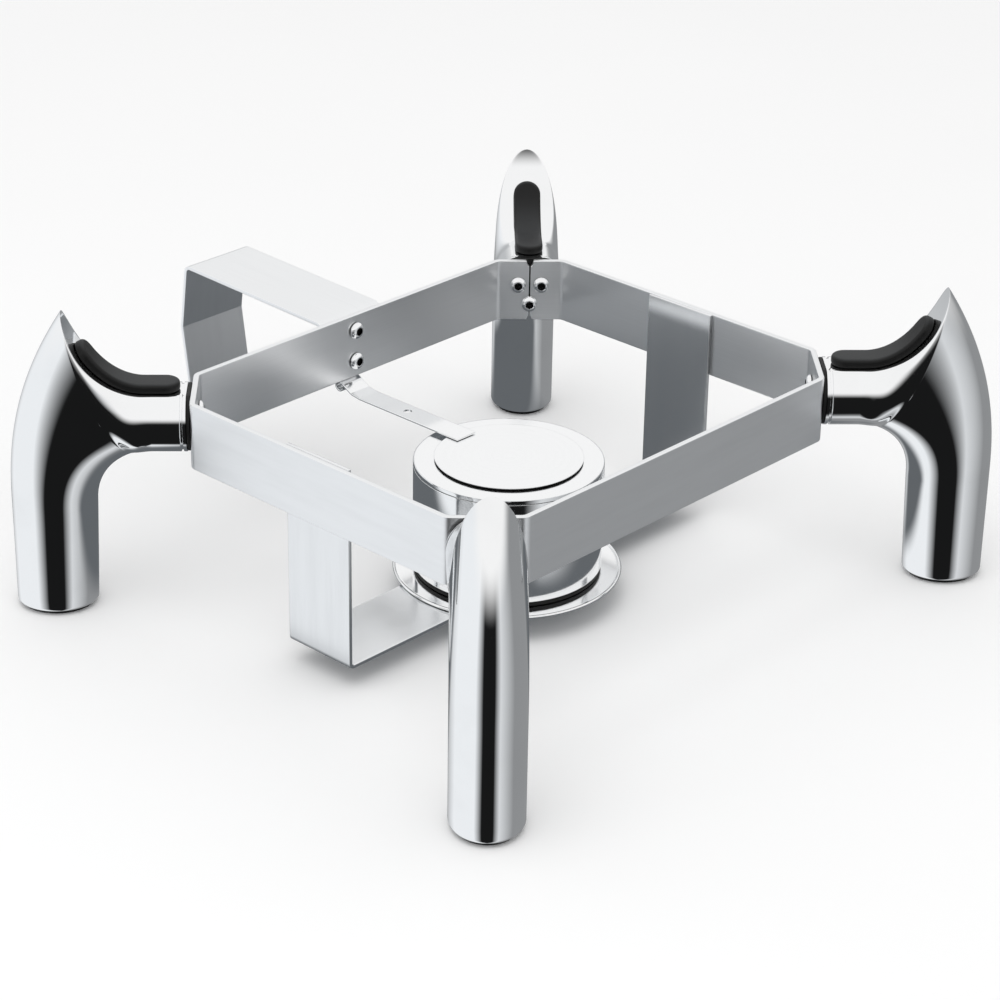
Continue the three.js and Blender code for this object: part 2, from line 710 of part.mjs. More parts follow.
// Middle line of the arm in Y and Z, from its inner end over two folds to the rolled end.
function lidArmRoute() {
  const inner = BURNER_Y + DISC_RADIUS - LID_ARM_OVERLAP;
  const levelEnd = FRAME_DEPTH / 2 - LID_TAIL_LENGTH;
  const rise = (from, angle, length) => [
    from[0] + length * Math.cos(degrees(angle)),
    from[1] + length * Math.sin(degrees(angle)),
  ];
  const second = rise([levelEnd, 0], LID_FIRST_RISE, LID_FIRST_LENGTH);
  const third = rise(second, LID_SECOND_RISE, LID_SECOND_LENGTH);
  const corners = [[inner, 0], [levelEnd, 0], second, third];
  const route = foldedRoute(corners, LID_ARM_FOLD_RADIUS + LID_ARM_THICKNESS / 2);
  const hem = arcFrom(route.at(-1), -degrees(HEM_TURN), HEM_RADIUS - LID_ARM_THICKNESS / 2);
  return [...route.slice(0, -1), ...hem];
}

// Level of the arm that lets its rolled end pass under the band.
const hemTop = Math.max(...lidArmRoute().map((place) => place.y)) + LID_ARM_THICKNESS / 2;
const LID_ARM_LEVEL = BAND_BOTTOM - LID_PASS_GAP - hemTop;
const DISC_BOTTOM = LID_ARM_LEVEL - LID_ARM_THICKNESS / 2 - SEAT_GAP - DISC_THICKNESS;

function lidArm() {
  const strip = extrudeAlongX(stripShape(lidArmRoute(), LID_ARM_THICKNESS), LID_ARM_WIDTH);
  const radius = LID_ARM_HOLE_DIAMETER / 2;
  const hole = turned([
    [0, -LID_ARM_THICKNESS],
    [radius, -LID_ARM_THICKNESS],
    [radius, LID_ARM_THICKNESS],
    [0, LID_ARM_THICKNESS],
  ], HOLE_STEPS);
  hole.translate(0, BURNER_Y + DISC_RADIUS - LID_ARM_OVERLAP + LID_ARM_HOLE_PLACE, 0);
  return cut(strip, [hole]).translate(BURNER_X, 0, LID_ARM_LEVEL);
}

function snufferDisc() {
  return turned([
    [0, 0],
    [DISC_RADIUS - DISC_EDGE, 0],
    [DISC_RADIUS, DISC_EDGE],
    [DISC_RADIUS, DISC_THICKNESS - DISC_EDGE],
    [DISC_RADIUS - DISC_EDGE, DISC_THICKNESS],
    [0, DISC_THICKNESS],
  ], TURNED_STEPS);
}

// Burner, stacked on the strap up to the underside of the disc
const PLATE_BOTTOM = STRAP_TOP + SEAT_GAP;
const CASING_BOTTOM = PLATE_BOTTOM + PLATE_THICKNESS + SEAT_GAP;
const CAN_BOTTOM = CASING_BOTTOM + CASING_WALL + SEAT_GAP;
const CAP_TOP = DISC_BOTTOM - SEAT_GAP;
const CASING_TOP = CAP_TOP - CAP_SKIRT - SEAT_GAP;
const CAN_TOP = CAP_TOP - CAP_SHEET - CAN_HEADROOM;

function dripPlate() {
  const radius = CASING_RADIUS + PLATE_RIM;
  const top = PLATE_THICKNESS + PLATE_BEAD;
  return turned([
    [0, 0],
    [radius - PLATE_BEAD, 0],
    [radius, PLATE_BEAD],
    [radius, top - PLATE_BEAD / 2],
    [radius - PLATE_BEAD, top],
    [radius - 2 * PLATE_BEAD, top],
    [radius - 3 * PLATE_BEAD, PLATE_THICKNESS],
    [0, PLATE_THICKNESS],
  ], TURNED_STEPS);
}

function burnerCasing() {
  const base = CASING_RADIUS - BASE_INSET;
  const inside = CASING_RADIUS - CASING_WALL;
  const height = CASING_TOP - CASING_BOTTOM;
  return turned([
    [0, 0],
    [base, 0],
    [base, BASE_HEIGHT],
    [CASING_RADIUS, BASE_HEIGHT],
    [CASING_RADIUS, height],
    [inside, height],
    [inside, BASE_HEIGHT + CASING_WALL],
    [base - CASING_WALL, BASE_HEIGHT + CASING_WALL],
    [base - CASING_WALL, CASING_WALL],
    [0, CASING_WALL],
  ], TURNED_STEPS);
}

function fuelCan() {
  const height = CAN_TOP - CAN_BOTTOM;
  return turned([
    [0, 0],
    [CAN_RADIUS, 0],
    [CAN_RADIUS, height],
    [CAN_RADIUS - CAN_WALL, height],
    [CAN_RADIUS - CAN_WALL, CAN_WALL],
    [0, CAN_WALL],
  ], TURNED_STEPS);
}

// Cap: a ring with an outer skirt on the casing's edge, a lip inside the casing and an inner collar.
function capRing() {
  const lipOutside = CASING_RADIUS - CASING_WALL - HOLE_CLEARANCE;
  const lipInside = lipOutside - CAP_SHEET;
  const collarOutside = CAP_OPENING_RADIUS + CAP_SHEET;
  const soft = CAP_SHEET / 2;
  return turnedRing([
    [CAP_OPENING_RADIUS, -CAP_COLLAR],
    [collarOutside, -CAP_COLLAR],
    [collarOutside, -CAP_SHEET],
    [lipInside, -CAP_SHEET],
    [lipInside, -CAP_LOCATING_LIP],
    [lipOutside, -CAP_LOCATING_LIP],
    [lipOutside, -CAP_SKIRT],
    [CASING_RADIUS, -CAP_SKIRT],
    [CASING_RADIUS, -soft],
    [CASING_RADIUS - soft, 0],
    [CAP_OPENING_RADIUS + soft, 0],
    [CAP_OPENING_RADIUS, -soft],
  ], TURNED_STEPS);
}

// Assembly

function piece(name, geometry, material) {
  const mesh = new THREE.Mesh(geometry, material);
  mesh.name = name;
  return mesh;
}

function cornerGroup(corner) {
  const group = new THREE.Group();
  group.position.set(corner.x, corner.y, STAND_HEIGHT);
  group.rotation.z = corner.heading;
  group.add(piece(`leg_${corner.name}`, leg(), polishedLeg()));
  group.add(piece(`gasket_${corner.name}`, gasket(), blackRubber()));
  group.add(piece(`pad_${corner.name}`, pad(), blackPad()));
  group.add(piece(`foot_${corner.name}`, foot(), blackRubber()));
  LEG_SCREWS.forEach(([y, z], i) => {
    const fastener = piece(`screw_${corner.name}_${i + 1}`, screw(LEG_SCREW_LENGTH), screwSteel());
    fastener.position.set(-BAND_THICKNESS - SEAT_GAP, y, z);
    group.add(fastener);
  });
  return group;
}

function bracketGroup() {
  const group = new THREE.Group();
  group.add(piece('rear_bracket', rearBracket(), bandSteel()));
  const inside = FRAME_DEPTH / 2 - BAND_THICKNESS - SEAT_GAP;
  const outside = FRAME_DEPTH / 2 + BRACKET_THICKNESS + 2 * SEAT_GAP;
  for (const [level, height] of Object.entries(BRACKET_SCREW_HEIGHTS)) {
    const fastener = piece(`bracket_screw_${level}`, screw(BRACKET_SCREW_LENGTH), screwSteel());
    fastener.rotation.z = Math.PI / 2;
    fastener.position.set(0, inside, height);
    const lock = piece(`bracket_nut_${level}`, nut(), screwSteel());
    lock.position.set(0, outside, height);
    group.add(fastener, lock);
  }
  return group;
}

function burnerGroup() {
  const group = new THREE.Group();
  const stack = [
    ['drip_plate', dripPlate(), burnerSteel(), PLATE_BOTTOM],
    ['burner_casing', burnerCasing(), burnerSteel(), CASING_BOTTOM],
    ['fuel_can', fuelCan(), tinnedCan(), CAN_BOTTOM],
    ['cap_ring', capRing(), burnerSteel(), CAP_TOP],
    ['snuffer_disc', snufferDisc(), burnerSteel(), DISC_BOTTOM],
  ];
  for (const [name, geometry, material, height] of stack) {
    const mesh = piece(name, geometry, material);
    mesh.position.set(BURNER_X, BURNER_Y, height);
    group.add(mesh);
  }
  group.add(piece('lid_arm', lidArm(), burnerSteel()));
  return group;
}

const stand = new THREE.Group();
stand.add(piece('frame_band', frameBand(), bandSteel()));
stand.add(piece('burner_strap', burnerStrap(), strapSteel()));
stand.add(bracketGroup(), burnerGroup());
for (const corner of CORNERS) {
  stand.add(cornerGroup(corner));
}

// The origin is the middle of the floor under the whole stand, rear bracket included.
const bounds = new THREE.Box3().setFromObject(stand, true);
const middle = bounds.getCenter(new THREE.Vector3());
stand.position.set(-middle.x, -middle.y, -bounds.min.z);

export default stand;
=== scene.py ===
# %% [markdown]
# # Chafing dish stand
# A steel band on four horned legs, with a fuel burner on a strap below it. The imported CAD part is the
# fixed frame: it gives the places and the moving bodies. This lesson dresses it. Nearly every solid is
# replaced by a finer surface of the same size, because polished metal shows each facet of a coarse one.

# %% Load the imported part
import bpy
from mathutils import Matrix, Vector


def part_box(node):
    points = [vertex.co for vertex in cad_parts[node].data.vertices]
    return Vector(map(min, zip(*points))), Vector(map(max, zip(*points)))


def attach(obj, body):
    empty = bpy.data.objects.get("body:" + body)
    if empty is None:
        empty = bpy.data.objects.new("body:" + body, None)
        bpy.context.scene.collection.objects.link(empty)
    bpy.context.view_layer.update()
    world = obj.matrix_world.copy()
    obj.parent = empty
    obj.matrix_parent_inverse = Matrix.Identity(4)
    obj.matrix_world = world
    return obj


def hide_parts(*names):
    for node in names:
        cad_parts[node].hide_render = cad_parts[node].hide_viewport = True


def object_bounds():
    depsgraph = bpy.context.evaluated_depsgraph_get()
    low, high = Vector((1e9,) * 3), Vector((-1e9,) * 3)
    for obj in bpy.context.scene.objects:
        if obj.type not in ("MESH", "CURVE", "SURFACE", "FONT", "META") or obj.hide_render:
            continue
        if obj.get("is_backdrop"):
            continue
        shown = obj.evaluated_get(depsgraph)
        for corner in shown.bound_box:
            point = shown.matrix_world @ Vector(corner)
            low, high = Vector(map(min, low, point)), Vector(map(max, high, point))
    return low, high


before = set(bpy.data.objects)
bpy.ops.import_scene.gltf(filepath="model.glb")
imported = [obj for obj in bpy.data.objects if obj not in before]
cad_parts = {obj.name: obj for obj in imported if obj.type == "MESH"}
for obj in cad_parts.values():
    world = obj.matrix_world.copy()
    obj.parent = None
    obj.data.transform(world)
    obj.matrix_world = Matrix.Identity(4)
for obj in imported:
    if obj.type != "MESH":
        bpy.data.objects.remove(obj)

import math

import bmesh
import bpy
import numpy as np
from mathutils import Matrix

cad_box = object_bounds()

# %% [markdown]
# The sizes below are those of the CAD part, in millimetres. The part was moved so that its origin is
# the middle of its footprint. The band is symmetric about the design's origin, so the middle of the
# band's box tells how far everything was moved.

# %% Sizes of the stand
MM = 0.001
band_low, band_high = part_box("frame_band")
SHIFT = np.array([(band_low.x + band_high.x) / 2, (band_low.y + band_high.y) / 2, 0]) / MM
STAND_HEIGHT = 123.0
FRAME_LENGTH, FRAME_DEPTH = 284.0, 236.0
BAND_HEIGHT, BAND_THICKNESS, CORNER_CUT = 36.0, 3.0, 27.5
BAND_BOTTOM = STAND_HEIGHT - BAND_HEIGHT
SEAT_GAP = 0.3
FACE_X, FACE_Y = (FRAME_LENGTH - CORNER_CUT) / 2, (FRAME_DEPTH - CORNER_CUT) / 2
CORNERS = {
    "rear_left": (-1, 1),
    "rear_right": (1, 1),
    "front_right": (1, -1),
    "front_left": (-1, -1),
}
print("moved by", SHIFT.round(3), "mm")

# %% [markdown]
# Every new piece is a grid of points: rows of equally many points, joined to quads. A closed ring joins
# its last point to its first. Where many points fall together, as at a pole, merging them turns the
# quads into triangles and closes the surface. Sharp edges are marked by their angle, so that the rest
# can be shaded smooth.


# %% From a grid of points to a piece
SHARP_ANGLE = math.radians(38)


def grid_quads(rows, columns, closed_rows):
    """Corner numbers of every quad: a point, its next in the row, and the same two in the next row.

    A row's last point is followed by its first.
    """
    i = np.arange(rows if closed_rows else rows - 1)
    j = np.arange(columns)
    a, b = (grid.ravel() for grid in np.meshgrid(i, j, indexing="ij"))
    up, right = (a + 1) % rows, (b + 1) % columns
    corners = [a * columns + b, a * columns + right, up * columns + right, up * columns + b]
    return np.stack(corners, axis=1)


def piece(name, points, body, material, stands_for=None,
          uv=None, closed_rows=False):
    """Mesh object from a grid of points in millimetres, design place, riding on a body."""
    rows, columns = points.shape[:2]
    quads = grid_quads(rows, columns, closed_rows)
    mesh = bpy.data.meshes.new(name)
    places = (points.reshape(-1, 3) + SHIFT) * MM
    mesh.from_pydata(places.tolist(), [], quads.tolist())
    if uv is not None:
        layer = mesh.uv_layers.new(name="Map")
        layer.data.foreach_set("uv", uv.reshape(-1, 2)[quads.ravel()].astype(np.float32).ravel())
    close_up(mesh)
    mesh.set_sharp_from_angle(angle=SHARP_ANGLE)
    mesh.materials.append(material)
    thing = bpy.data.objects.new(name, mesh)
    bpy.context.scene.collection.objects.link(thing)
    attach(thing, body)
    if stands_for:
        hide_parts(stands_for)
    return thing


def close_up(mesh):
    """Merges points that fall together, turns all faces outward and shades them smooth."""
    work = bmesh.new()
    work.from_mesh(mesh)
    bmesh.ops.remove_doubles(work, verts=work.verts, dist=2e-6)
    bmesh.ops.dissolve_degenerate(work, edges=work.edges, dist=1e-7)
    bmesh.ops.recalc_face_normals(work, faces=work.faces)
    for face in work.faces:
        face.smooth = True
    work.to_mesh(mesh)
    work.free()


print("a piece is a grid of quads, merged and turned outward")

# %% [markdown]
# Materials are built from nodes. Writing the sums as ordinary expressions keeps them readable, so one
# small class wraps an output socket: adding or multiplying two of them adds a Math node. One method
# makes every other kind of node, with its settings first and then the values or links of its sockets.


# %% Shader maths as expressions
class Signal:
    """An output socket that can be used in a sum."""

    def __init__(self, nodes, socket):
        self.nodes = nodes
        self.socket = socket

    def maths(self, operation, first, second=0.0):
        values = {0: first, 1: second}
        return self.nodes.node("ShaderNodeMath", {"operation": operation}, values)

    def __add__(self, other):
        return self.maths("ADD", self, other)

    def __radd__(self, other):
        return self.maths("ADD", other, self)

    def __sub__(self, other):
        return self.maths("SUBTRACT", self, other)

    def __rsub__(self, other):
        return self.maths("SUBTRACT", other, self)

    def __mul__(self, other):
        return self.maths("MULTIPLY", self, other)

    def __rmul__(self, other):
        return self.maths("MULTIPLY", other, self)

    def __truediv__(self, other):
        return self.maths("DIVIDE", self, other)

    def root(self):
        return self.maths("SQRT", self)

    def between(self, low, high):
        """Soft step: 0 below low, 1 above high."""
        settings = {"interpolation_type": "SMOOTHSTEP"}
        values = {"Value": self, "From Min": low, "From Max": high}
        return self.nodes.node("ShaderNodeMapRange", settings, values)


class Nodes:
    """The node tree of a material or of the world."""

    def __init__(self, owner):
        owner.use_nodes = True
        self.tree = owner.node_tree
        self.tree.nodes.clear()

    def node(self, kind, settings=None, values=None, output=0):
        made = self.tree.nodes.new(kind)
        for key, value in (settings or {}).items():
            if key == "stops":
                set_stops(made.color_ramp, value)
            else:
                setattr(made, key, value)
        for key, value in (values or {}).items():
            if isinstance(value, Signal):
                self.tree.links.new(value.socket, made.inputs[key])
            else:
                made.inputs[key].default_value = value
        return Signal(self, made.outputs[output] if len(made.outputs) else None)

    def split(self, vector):
        """The three parts of a vector."""
        return [self.node("ShaderNodeSeparateXYZ", None, {0: vector}, k) for k in range(3)]

    def join(self, x, y, z):
        return self.node("ShaderNodeCombineXYZ", None, {0: x, 1: y, 2: z})

    def noise(self, vector, scale, detail=2.0, roughness=0.5):
        values = {"Vector": vector, "Scale": scale, "Detail": detail, "Roughness": roughness}
        return self.node("ShaderNodeTexNoise", None, values)

    def tint(self, share, first, second):
        """Colour between two colours, by a share from 0 to 1."""
        settings = {"data_type": "RGBA"}
        return self.node("ShaderNodeMix", settings, {0: share, 6: first, 7: second}, 2)


def set_stops(ramp, stops):
    while len(ramp.elements) < len(stops):
        ramp.elements.new(1.0)
    for element, (place, colour) in zip(ramp.elements, stops):
        element.position = place
        element.color = colour


def grey(value, blue=0.0):
    """Linear colour of a grey, a little colder if blue is above 0."""
    return (value * (1 - blue), value * (1 - blue / 2), value, 1.0)


def start_material(name, colour, metallic, roughness, **others):
    material = bpy.data.materials.new(name)
    nodes = Nodes(material)
    values = {"Base Color": colour, "Metallic": metallic, "Roughness": roughness, **others}
    shader = nodes.node("ShaderNodeBsdfPrincipled", None, values)
    nodes.node("ShaderNodeOutputMaterial", None, {"Surface": shader})
    nodes.shader = shader.socket.node
    return material, nodes


def times(colour, share):
    return tuple(share * part for part in colour[:3]) + (1.0,)


def feed(nodes, **inputs):
    """Links signals to the shader's sockets, named with underscores for spaces."""
    for key, value in inputs.items():
        nodes.tree.links.new(value.socket, nodes.shader.inputs[key.replace("_", " ")])


print("node maths ready")

# %% [markdown]
# The legs are cast, ground and polished until they mirror the room. The eye reads such a surface by
# what it reflects, so its own pattern is faint: a slow wave left by the polishing wheel, a few
# hazy patches where hands have touched it, and almost no roughness.


# %% Mirror polish of the legs
def mirror_polish(name, tone, roughness, haze, wave, painted_recess_shade=False):
    """Metal whose roughness rises in soft patches and whose surface waves by a few hundredths.

    The last argument lets the second value of the piece's own map paint near-black shade into recesses.
    """
    material, nodes = start_material(name, tone, 1.0, roughness)
    place = nodes.node("ShaderNodeTexCoord", None, None, 3)
    patches = nodes.noise(place, 28.0, 3.0, 0.55).between(0.45, 0.75)
    fine = nodes.noise(place, 900.0, 1.0)
    feed(nodes, Roughness=patches * haze + fine * 0.012 + roughness)
    colour = nodes.tint(patches * 0.6, tone, times(tone, 0.94))
    if painted_recess_shade:
        # Painted shade: where the map's second value is 1 the colour goes near black, like shade in a
        # recess.
        dark = nodes.split(nodes.node("ShaderNodeUVMap", {"uv_map": "Map"}))[1]
        colour = nodes.tint(dark.between(0.3, 0.9), colour, grey(0.01))
    feed(nodes, Base_Color=colour)
    slow = nodes.noise(place, 55.0, 1.0)
    bump = {"Strength": 1.0, "Distance": wave, "Height": slow}
    feed(nodes, Normal=nodes.node("ShaderNodeBump", None, bump))
    return material


leg_polish = mirror_polish("polished_leg", grey(0.92, 0.01), 0.028, 0.022, 0.00002)
nut_polish = mirror_polish("polished_nut", grey(0.80, 0.02), 0.07, 0.05, 0.00001)
# The screws get painted shade in their sockets and under their heads.
screw_polish = mirror_polish("polished_screw", grey(0.92, 0.01), 0.05, 0.03, 0.00001, painted_recess_shade=True)
print("polish:", leg_polish.name, screw_polish.name)

# %% [markdown]
# The band, the strap and the bracket are cold-rolled stainless sheet. Rolling and buffing leave fine
# lines along the strip. The lines follow the sheet round its folds, so the pattern reads the piece's
# own map: metres along the strip, and metres across it. Stretching noise along the strip makes lines.


# %% Buffed sheet
def buffed_sheet(name, tone, roughness, grain):
    """Metal with long fine lines along the strip, in colour, roughness and height."""
    material, nodes = start_material(name, tone, 1.0, roughness)
    along, across, _ = nodes.split(nodes.node("ShaderNodeUVMap", {"uv_map": "Map"}))
    lines = nodes.noise(nodes.join(along * 14.0, across * 1500.0, 0.0), 1.0, 3.0, 0.6)
    broad = nodes.noise(nodes.join(along * 9.0, across * 60.0, 3.0), 1.0, 2.0)
    feed(nodes, Roughness=lines * 0.07 + broad * 0.06 + (roughness - 0.06))
    feed(nodes, Base_Color=nodes.tint(lines.between(0.35, 0.7) * 0.5, tone, times(tone, 0.93)))
    bump = {"Strength": 0.5, "Distance": grain, "Height": lines}
    feed(nodes, Normal=nodes.node("ShaderNodeBump", None, bump))
    return material


band_sheet = buffed_sheet("band_sheet", grey(0.90, 0.02), 0.32, 0.0000006)
strap_sheet = buffed_sheet("strap_sheet", grey(0.88, 0.02), 0.22, 0.0000006)
print("sheet:", band_sheet.name, strap_sheet.name)

# %% [markdown]
# The burner's parts are spun from thin sheet. Spinning leaves faint rings round the axis, so here the
# pattern is a noise of the distance from the burner's axis. The Mapping node brings that axis to the
# origin of the pattern.


# %% Spun steel
def spun_steel(name, tone, roughness, centre, grain):
    """Metal with fine rings round a centre, given in metres."""
    material, nodes = start_material(name, tone, 1.0, roughness)
    place = nodes.node("ShaderNodeTexCoord", None, None, 3)
    moved = {"Vector": place, "Location": (-centre[0], -centre[1], 0.0)}
    x, y, z = nodes.split(nodes.node("ShaderNodeMapping", None, moved))
    radius = (x * x + y * y).root()
    rings = nodes.noise(nodes.join(radius * 1400.0, z * 1400.0, 0.5), 1.0, 2.0, 0.6)
    broad = nodes.noise(place, 35.0, 2.0)
    feed(nodes, Roughness=rings * 0.02 + broad * 0.04 + (roughness - 0.03))
    feed(nodes, Base_Color=nodes.tint(rings.between(0.35, 0.7) * 0.12, tone, times(tone, 0.9)))
    bump = {"Strength": 0.4, "Distance": grain, "Height": rings}
    feed(nodes, Normal=nodes.node("ShaderNodeBump", None, bump))
    return material


BURNER = (-3.0, -3.0)
axis = (np.array([*BURNER, 0.0]) + SHIFT) * MM
burner_steel = spun_steel("burner_steel", grey(0.93, 0.01), 0.09, axis, 0.00000005)
can_steel = spun_steel("can_steel", (0.52, 0.50, 0.44, 1.0), 0.28, axis, 0.00001)
print("spun:", burner_steel.name, can_steel.name)

# %% [markdown]
# Pads, gaskets and feet are moulded black rubber. Their tops are matt and painted a little grey, as
# light from above falls on them, while their sides stay black. The top is told from the sides by which
# way the surface faces, and a fine grain in the height breaks up the highlight.


# %% Black rubber
def rubber(name, tone, lit_top_tone, roughness, grain):
    """Black rubber, painted lighter where it faces up as if lit from above, with a fine moulded grain.
    """
    gloss = {"Specular IOR Level": 0.3}
    material, nodes = start_material(name, tone, 0.0, roughness, **gloss)
    place = nodes.node("ShaderNodeTexCoord", None, None, 3)
    facing = nodes.node("ShaderNodeNewGeometry", None, None, 1)
    lit_from_above = nodes.split(facing)[2].between(0.55, 0.95)
    dust_and_top_light = nodes.noise(place, 160.0, 4.0, 0.6)
    speckle = nodes.noise(place, 2600.0, 1.0)
    # Painted light: faces turned up take the lighter grey, in patches of the same noise that also varies
    # roughness.
    feed(nodes, Base_Color=nodes.tint(lit_from_above * (dust_and_top_light * 0.5 + 0.6), tone, lit_top_tone))
    feed(nodes, Roughness=dust_and_top_light * 0.14 + speckle * 0.1 + (roughness - 0.1))
    bump = {"Strength": 0.6, "Distance": grain, "Height": speckle + dust_and_top_light * 0.5}
    feed(nodes, Normal=nodes.node("ShaderNodeBump", None, bump))
    return material


# The second grey of each rubber is the painted light on its tops.
pad_rubber = rubber("pad_rubber", grey(0.004), grey(0.028, 0.10), 0.5, 0.00003)
seal_rubber = rubber("seal_rubber", grey(0.004), grey(0.012), 0.55, 0.00002)
print("rubber:", pad_rubber.name, seal_rubber.name)

# %% [markdown]
# A folded strip is a line with straight runs and arcs, and a cross-section carried along it. The
# section is a rectangle with rounded edges. At both ends the section shrinks over the last bit of the
# way, which rounds the end as the edges are rounded.

# %% A strip folded along a line
FOLD_ARC = math.radians(5)


def folded_line(corners, radius, run_step=12.0):
    """Places and headings along a line through corners, with an arc of the given radius at each fold.

    An arc starts its radius times the tangent of half the turn before the corner.
    """
    corners = np.asarray(corners, float)
    runs = np.diff(corners, axis=0)
    headings = np.arctan2(runs[:, 1], runs[:, 0])
    turns = np.diff(headings)
    turns = np.arctan2(np.sin(turns), np.cos(turns))
    setbacks = radius * np.tan(np.abs(turns) / 2)
    places, ways = [corners[:1]], [headings[:1]]
    for k, turn in enumerate(turns):
        heading = headings[k]
        start = corners[k + 1] - setbacks[k] * np.array([math.cos(heading), math.sin(heading)])
        places.append(straight(places[-1][-1], start, run_step))
        ways.append(np.full(len(places[-1]), heading))
        side = math.copysign(1.0, turn)
        middle = start + side * radius * np.array([-math.sin(heading), math.cos(heading)])
        angles = heading + turn * np.linspace(0, 1, 1 + math.ceil(abs(turn) / FOLD_ARC))[1:]
        out = np.stack([np.sin(angles), -np.cos(angles)], axis=1)
        places.append(middle + side * radius * out)
        ways.append(angles)
    places.append(straight(places[-1][-1], corners[-1], run_step))
    ways.append(np.full(len(places[-1]), headings[-1]))
    return np.concatenate(places), np.concatenate(ways)


def straight(start, end, step):
    """Points from start to end, without start, about a step apart."""
    count = max(1, round(float(np.hypot(*(end - start))) / step))
    share = np.arange(1, count + 1)[:, None] / count
    return start + (end - start) * share


def rounded_ends(places, headings, edge):
    """Adds the last bit at both ends in four steps, and how much the section shrinks at each place."""
    angles = np.radians([0, 30, 60, 90])
    away, less = edge * (1 - np.sin(angles)), edge * (1 - np.cos(angles))
    first = np.array([math.cos(headings[0]), math.sin(headings[0])])
    last = np.array([math.cos(headings[-1]), math.sin(headings[-1])])
    head = places[0] + first * away[::-1, None]
    tail = places[-1] - last * away[:, None]
    inner = np.hypot(*(places - places[0]).T) > edge
    inner &= np.hypot(*(places - places[-1]).T) > edge
    whole = np.concatenate([head, places[inner], tail])
    four = np.ones(4)
    ways = np.concatenate([headings[0] * four, headings[inner], headings[-1] * four])
    shrink = np.concatenate([less[::-1], np.zeros(inner.sum()), less])
    return whole, ways, shrink


def strip_grid(places, headings, shrink, thickness, low, high, edge):
    """Grid of a strip: at each place a rounded rectangle, thickness to the left and right of the way
    and from low to high across it, less the shrink. The first and last ring close to a point. Each
    rounded edge has one more point on the flat beside it, so that the flat is shaded flat.
    """
    quarter = np.linspace(0, math.pi / 2, 4)[[0, 0, 1, 2, 3, 3]]
    angles = np.concatenate([quarter + k * math.pi / 2 for k in range(4)])
    sides = np.repeat([[1, 1], [-1, 1], [-1, -1], [1, -1]], 6, axis=0)
    beside_edge = np.tile([-1, 0, 0, 0, 0, 1], 4) * min(0.5, 0.4 * (thickness - 2 * edge))
    low, high = (np.broadcast_to(value, len(places))[:, None] for value in (low, high))
    bend = (edge - shrink)[:, None]
    left = sides[:, 0] * (thickness / 2 - edge) + bend * np.cos(angles)
    left = left - beside_edge * np.sin(angles)
    middle, half = (high + low) / 2, (high - low) / 2
    across = middle + sides[:, 1] * (half - edge) + bend * np.sin(angles)
    across = across + beside_edge * np.cos(angles)
    grid = np.stack([
        places[:, :1] - left * np.sin(headings)[:, None],
        places[:, 1:] + left * np.cos(headings)[:, None],
        across,
    ], axis=2)
    ends = [np.broadcast_to(ring.mean(axis=0), ring.shape)[None] for ring in (grid[0], grid[-1])]
    step = np.hypot(*np.diff(places, axis=0).T)
    along = np.concatenate([[0, 0], np.cumsum(step), [step.sum()]])
    grid = np.concatenate([ends[0], grid, ends[1]])
    round_way = np.linspace(0, 1, len(angles)) * 2 * (thickness + np.ptp(grid[1][:, 2]))
    uv = np.stack(np.broadcast_arrays(along[:, None], round_way), axis=2) * MM
    return grid, uv


print("strips fold in steps of", round(math.degrees(FOLD_ARC)), "degrees")

# %% [markdown]
# The band is one strip, folded at eight places. Its two ends meet in the middle of the rear right
# corner, where the photograph shows a fine black line with a small notch at the top and the bottom.
# The notches come from lowering the strip's upper edge, and raising its lower one, close to the ends.

# %% Frame band
FOLD_RADIUS = 3.5 + BAND_THICKNESS / 2
BAND_EDGE, BAND_STEP, SEAM_GAP = 0.35, 0.4, 0.8
TOP_NOTCH, BOTTOM_NOTCH = (3.4, 2.0), (2.4, 1.3)


def band_corners():
    """Corners of the band's middle line, from one side of the seam round to the other."""
    half_x, half_y = (FRAME_LENGTH - BAND_THICKNESS) / 2, (FRAME_DEPTH - BAND_THICKNESS) / 2
    cut = CORNER_CUT - BAND_THICKNESS * (1 - math.sqrt(0.5))
    seam = np.array([FACE_X, FACE_Y]) - BAND_THICKNESS / 2 * math.sqrt(0.5)
    gap = SEAM_GAP / 2 * math.sqrt(0.5)
    x, y, near_x, near_y = half_x, half_y, half_x - cut, half_y - cut
    return [seam + [-gap, gap], [near_x, y], [-near_x, y], [-x, near_y], [-x, -near_y],
            [-near_x, -y], [near_x, -y], [x, -near_y], [x, near_y], seam + [gap, -gap]]


def notch(distance, depth, half_width):
    """Depth of a notch shaped as a quarter of an ellipse, at distances from the middle of the seam."""
    return depth * np.sqrt(np.clip(1 - (distance / half_width) ** 2, 0, 1))


line, ways = folded_line(band_corners(), FOLD_RADIUS, BAND_STEP)
line, ways, shrink = rounded_ends(line, ways, BAND_EDGE)
walked = np.concatenate([[0], np.cumsum(np.hypot(*np.diff(line, axis=0).T))])
from_seam = np.minimum(walked, walked[-1] - walked) + SEAM_GAP / 2
low, high = BAND_BOTTOM + notch(from_seam, *BOTTOM_NOTCH), STAND_HEIGHT - notch(from_seam, *TOP_NOTCH)
grid, uv = strip_grid(line, ways, shrink, BAND_THICKNESS, low, high, BAND_EDGE)
band = piece("band", grid, "root", band_sheet, "frame_band", uv)
print("band:", len(band.data.polygons), "faces")

# %% [markdown]
# The strap is a U of flat bar. It is drawn in the plane of X and Z and its width runs along Y, so the
# last two coordinates of the strip change places. The bracket and the lid's arm are drawn in the plane
# of Y and Z, with their width along X.

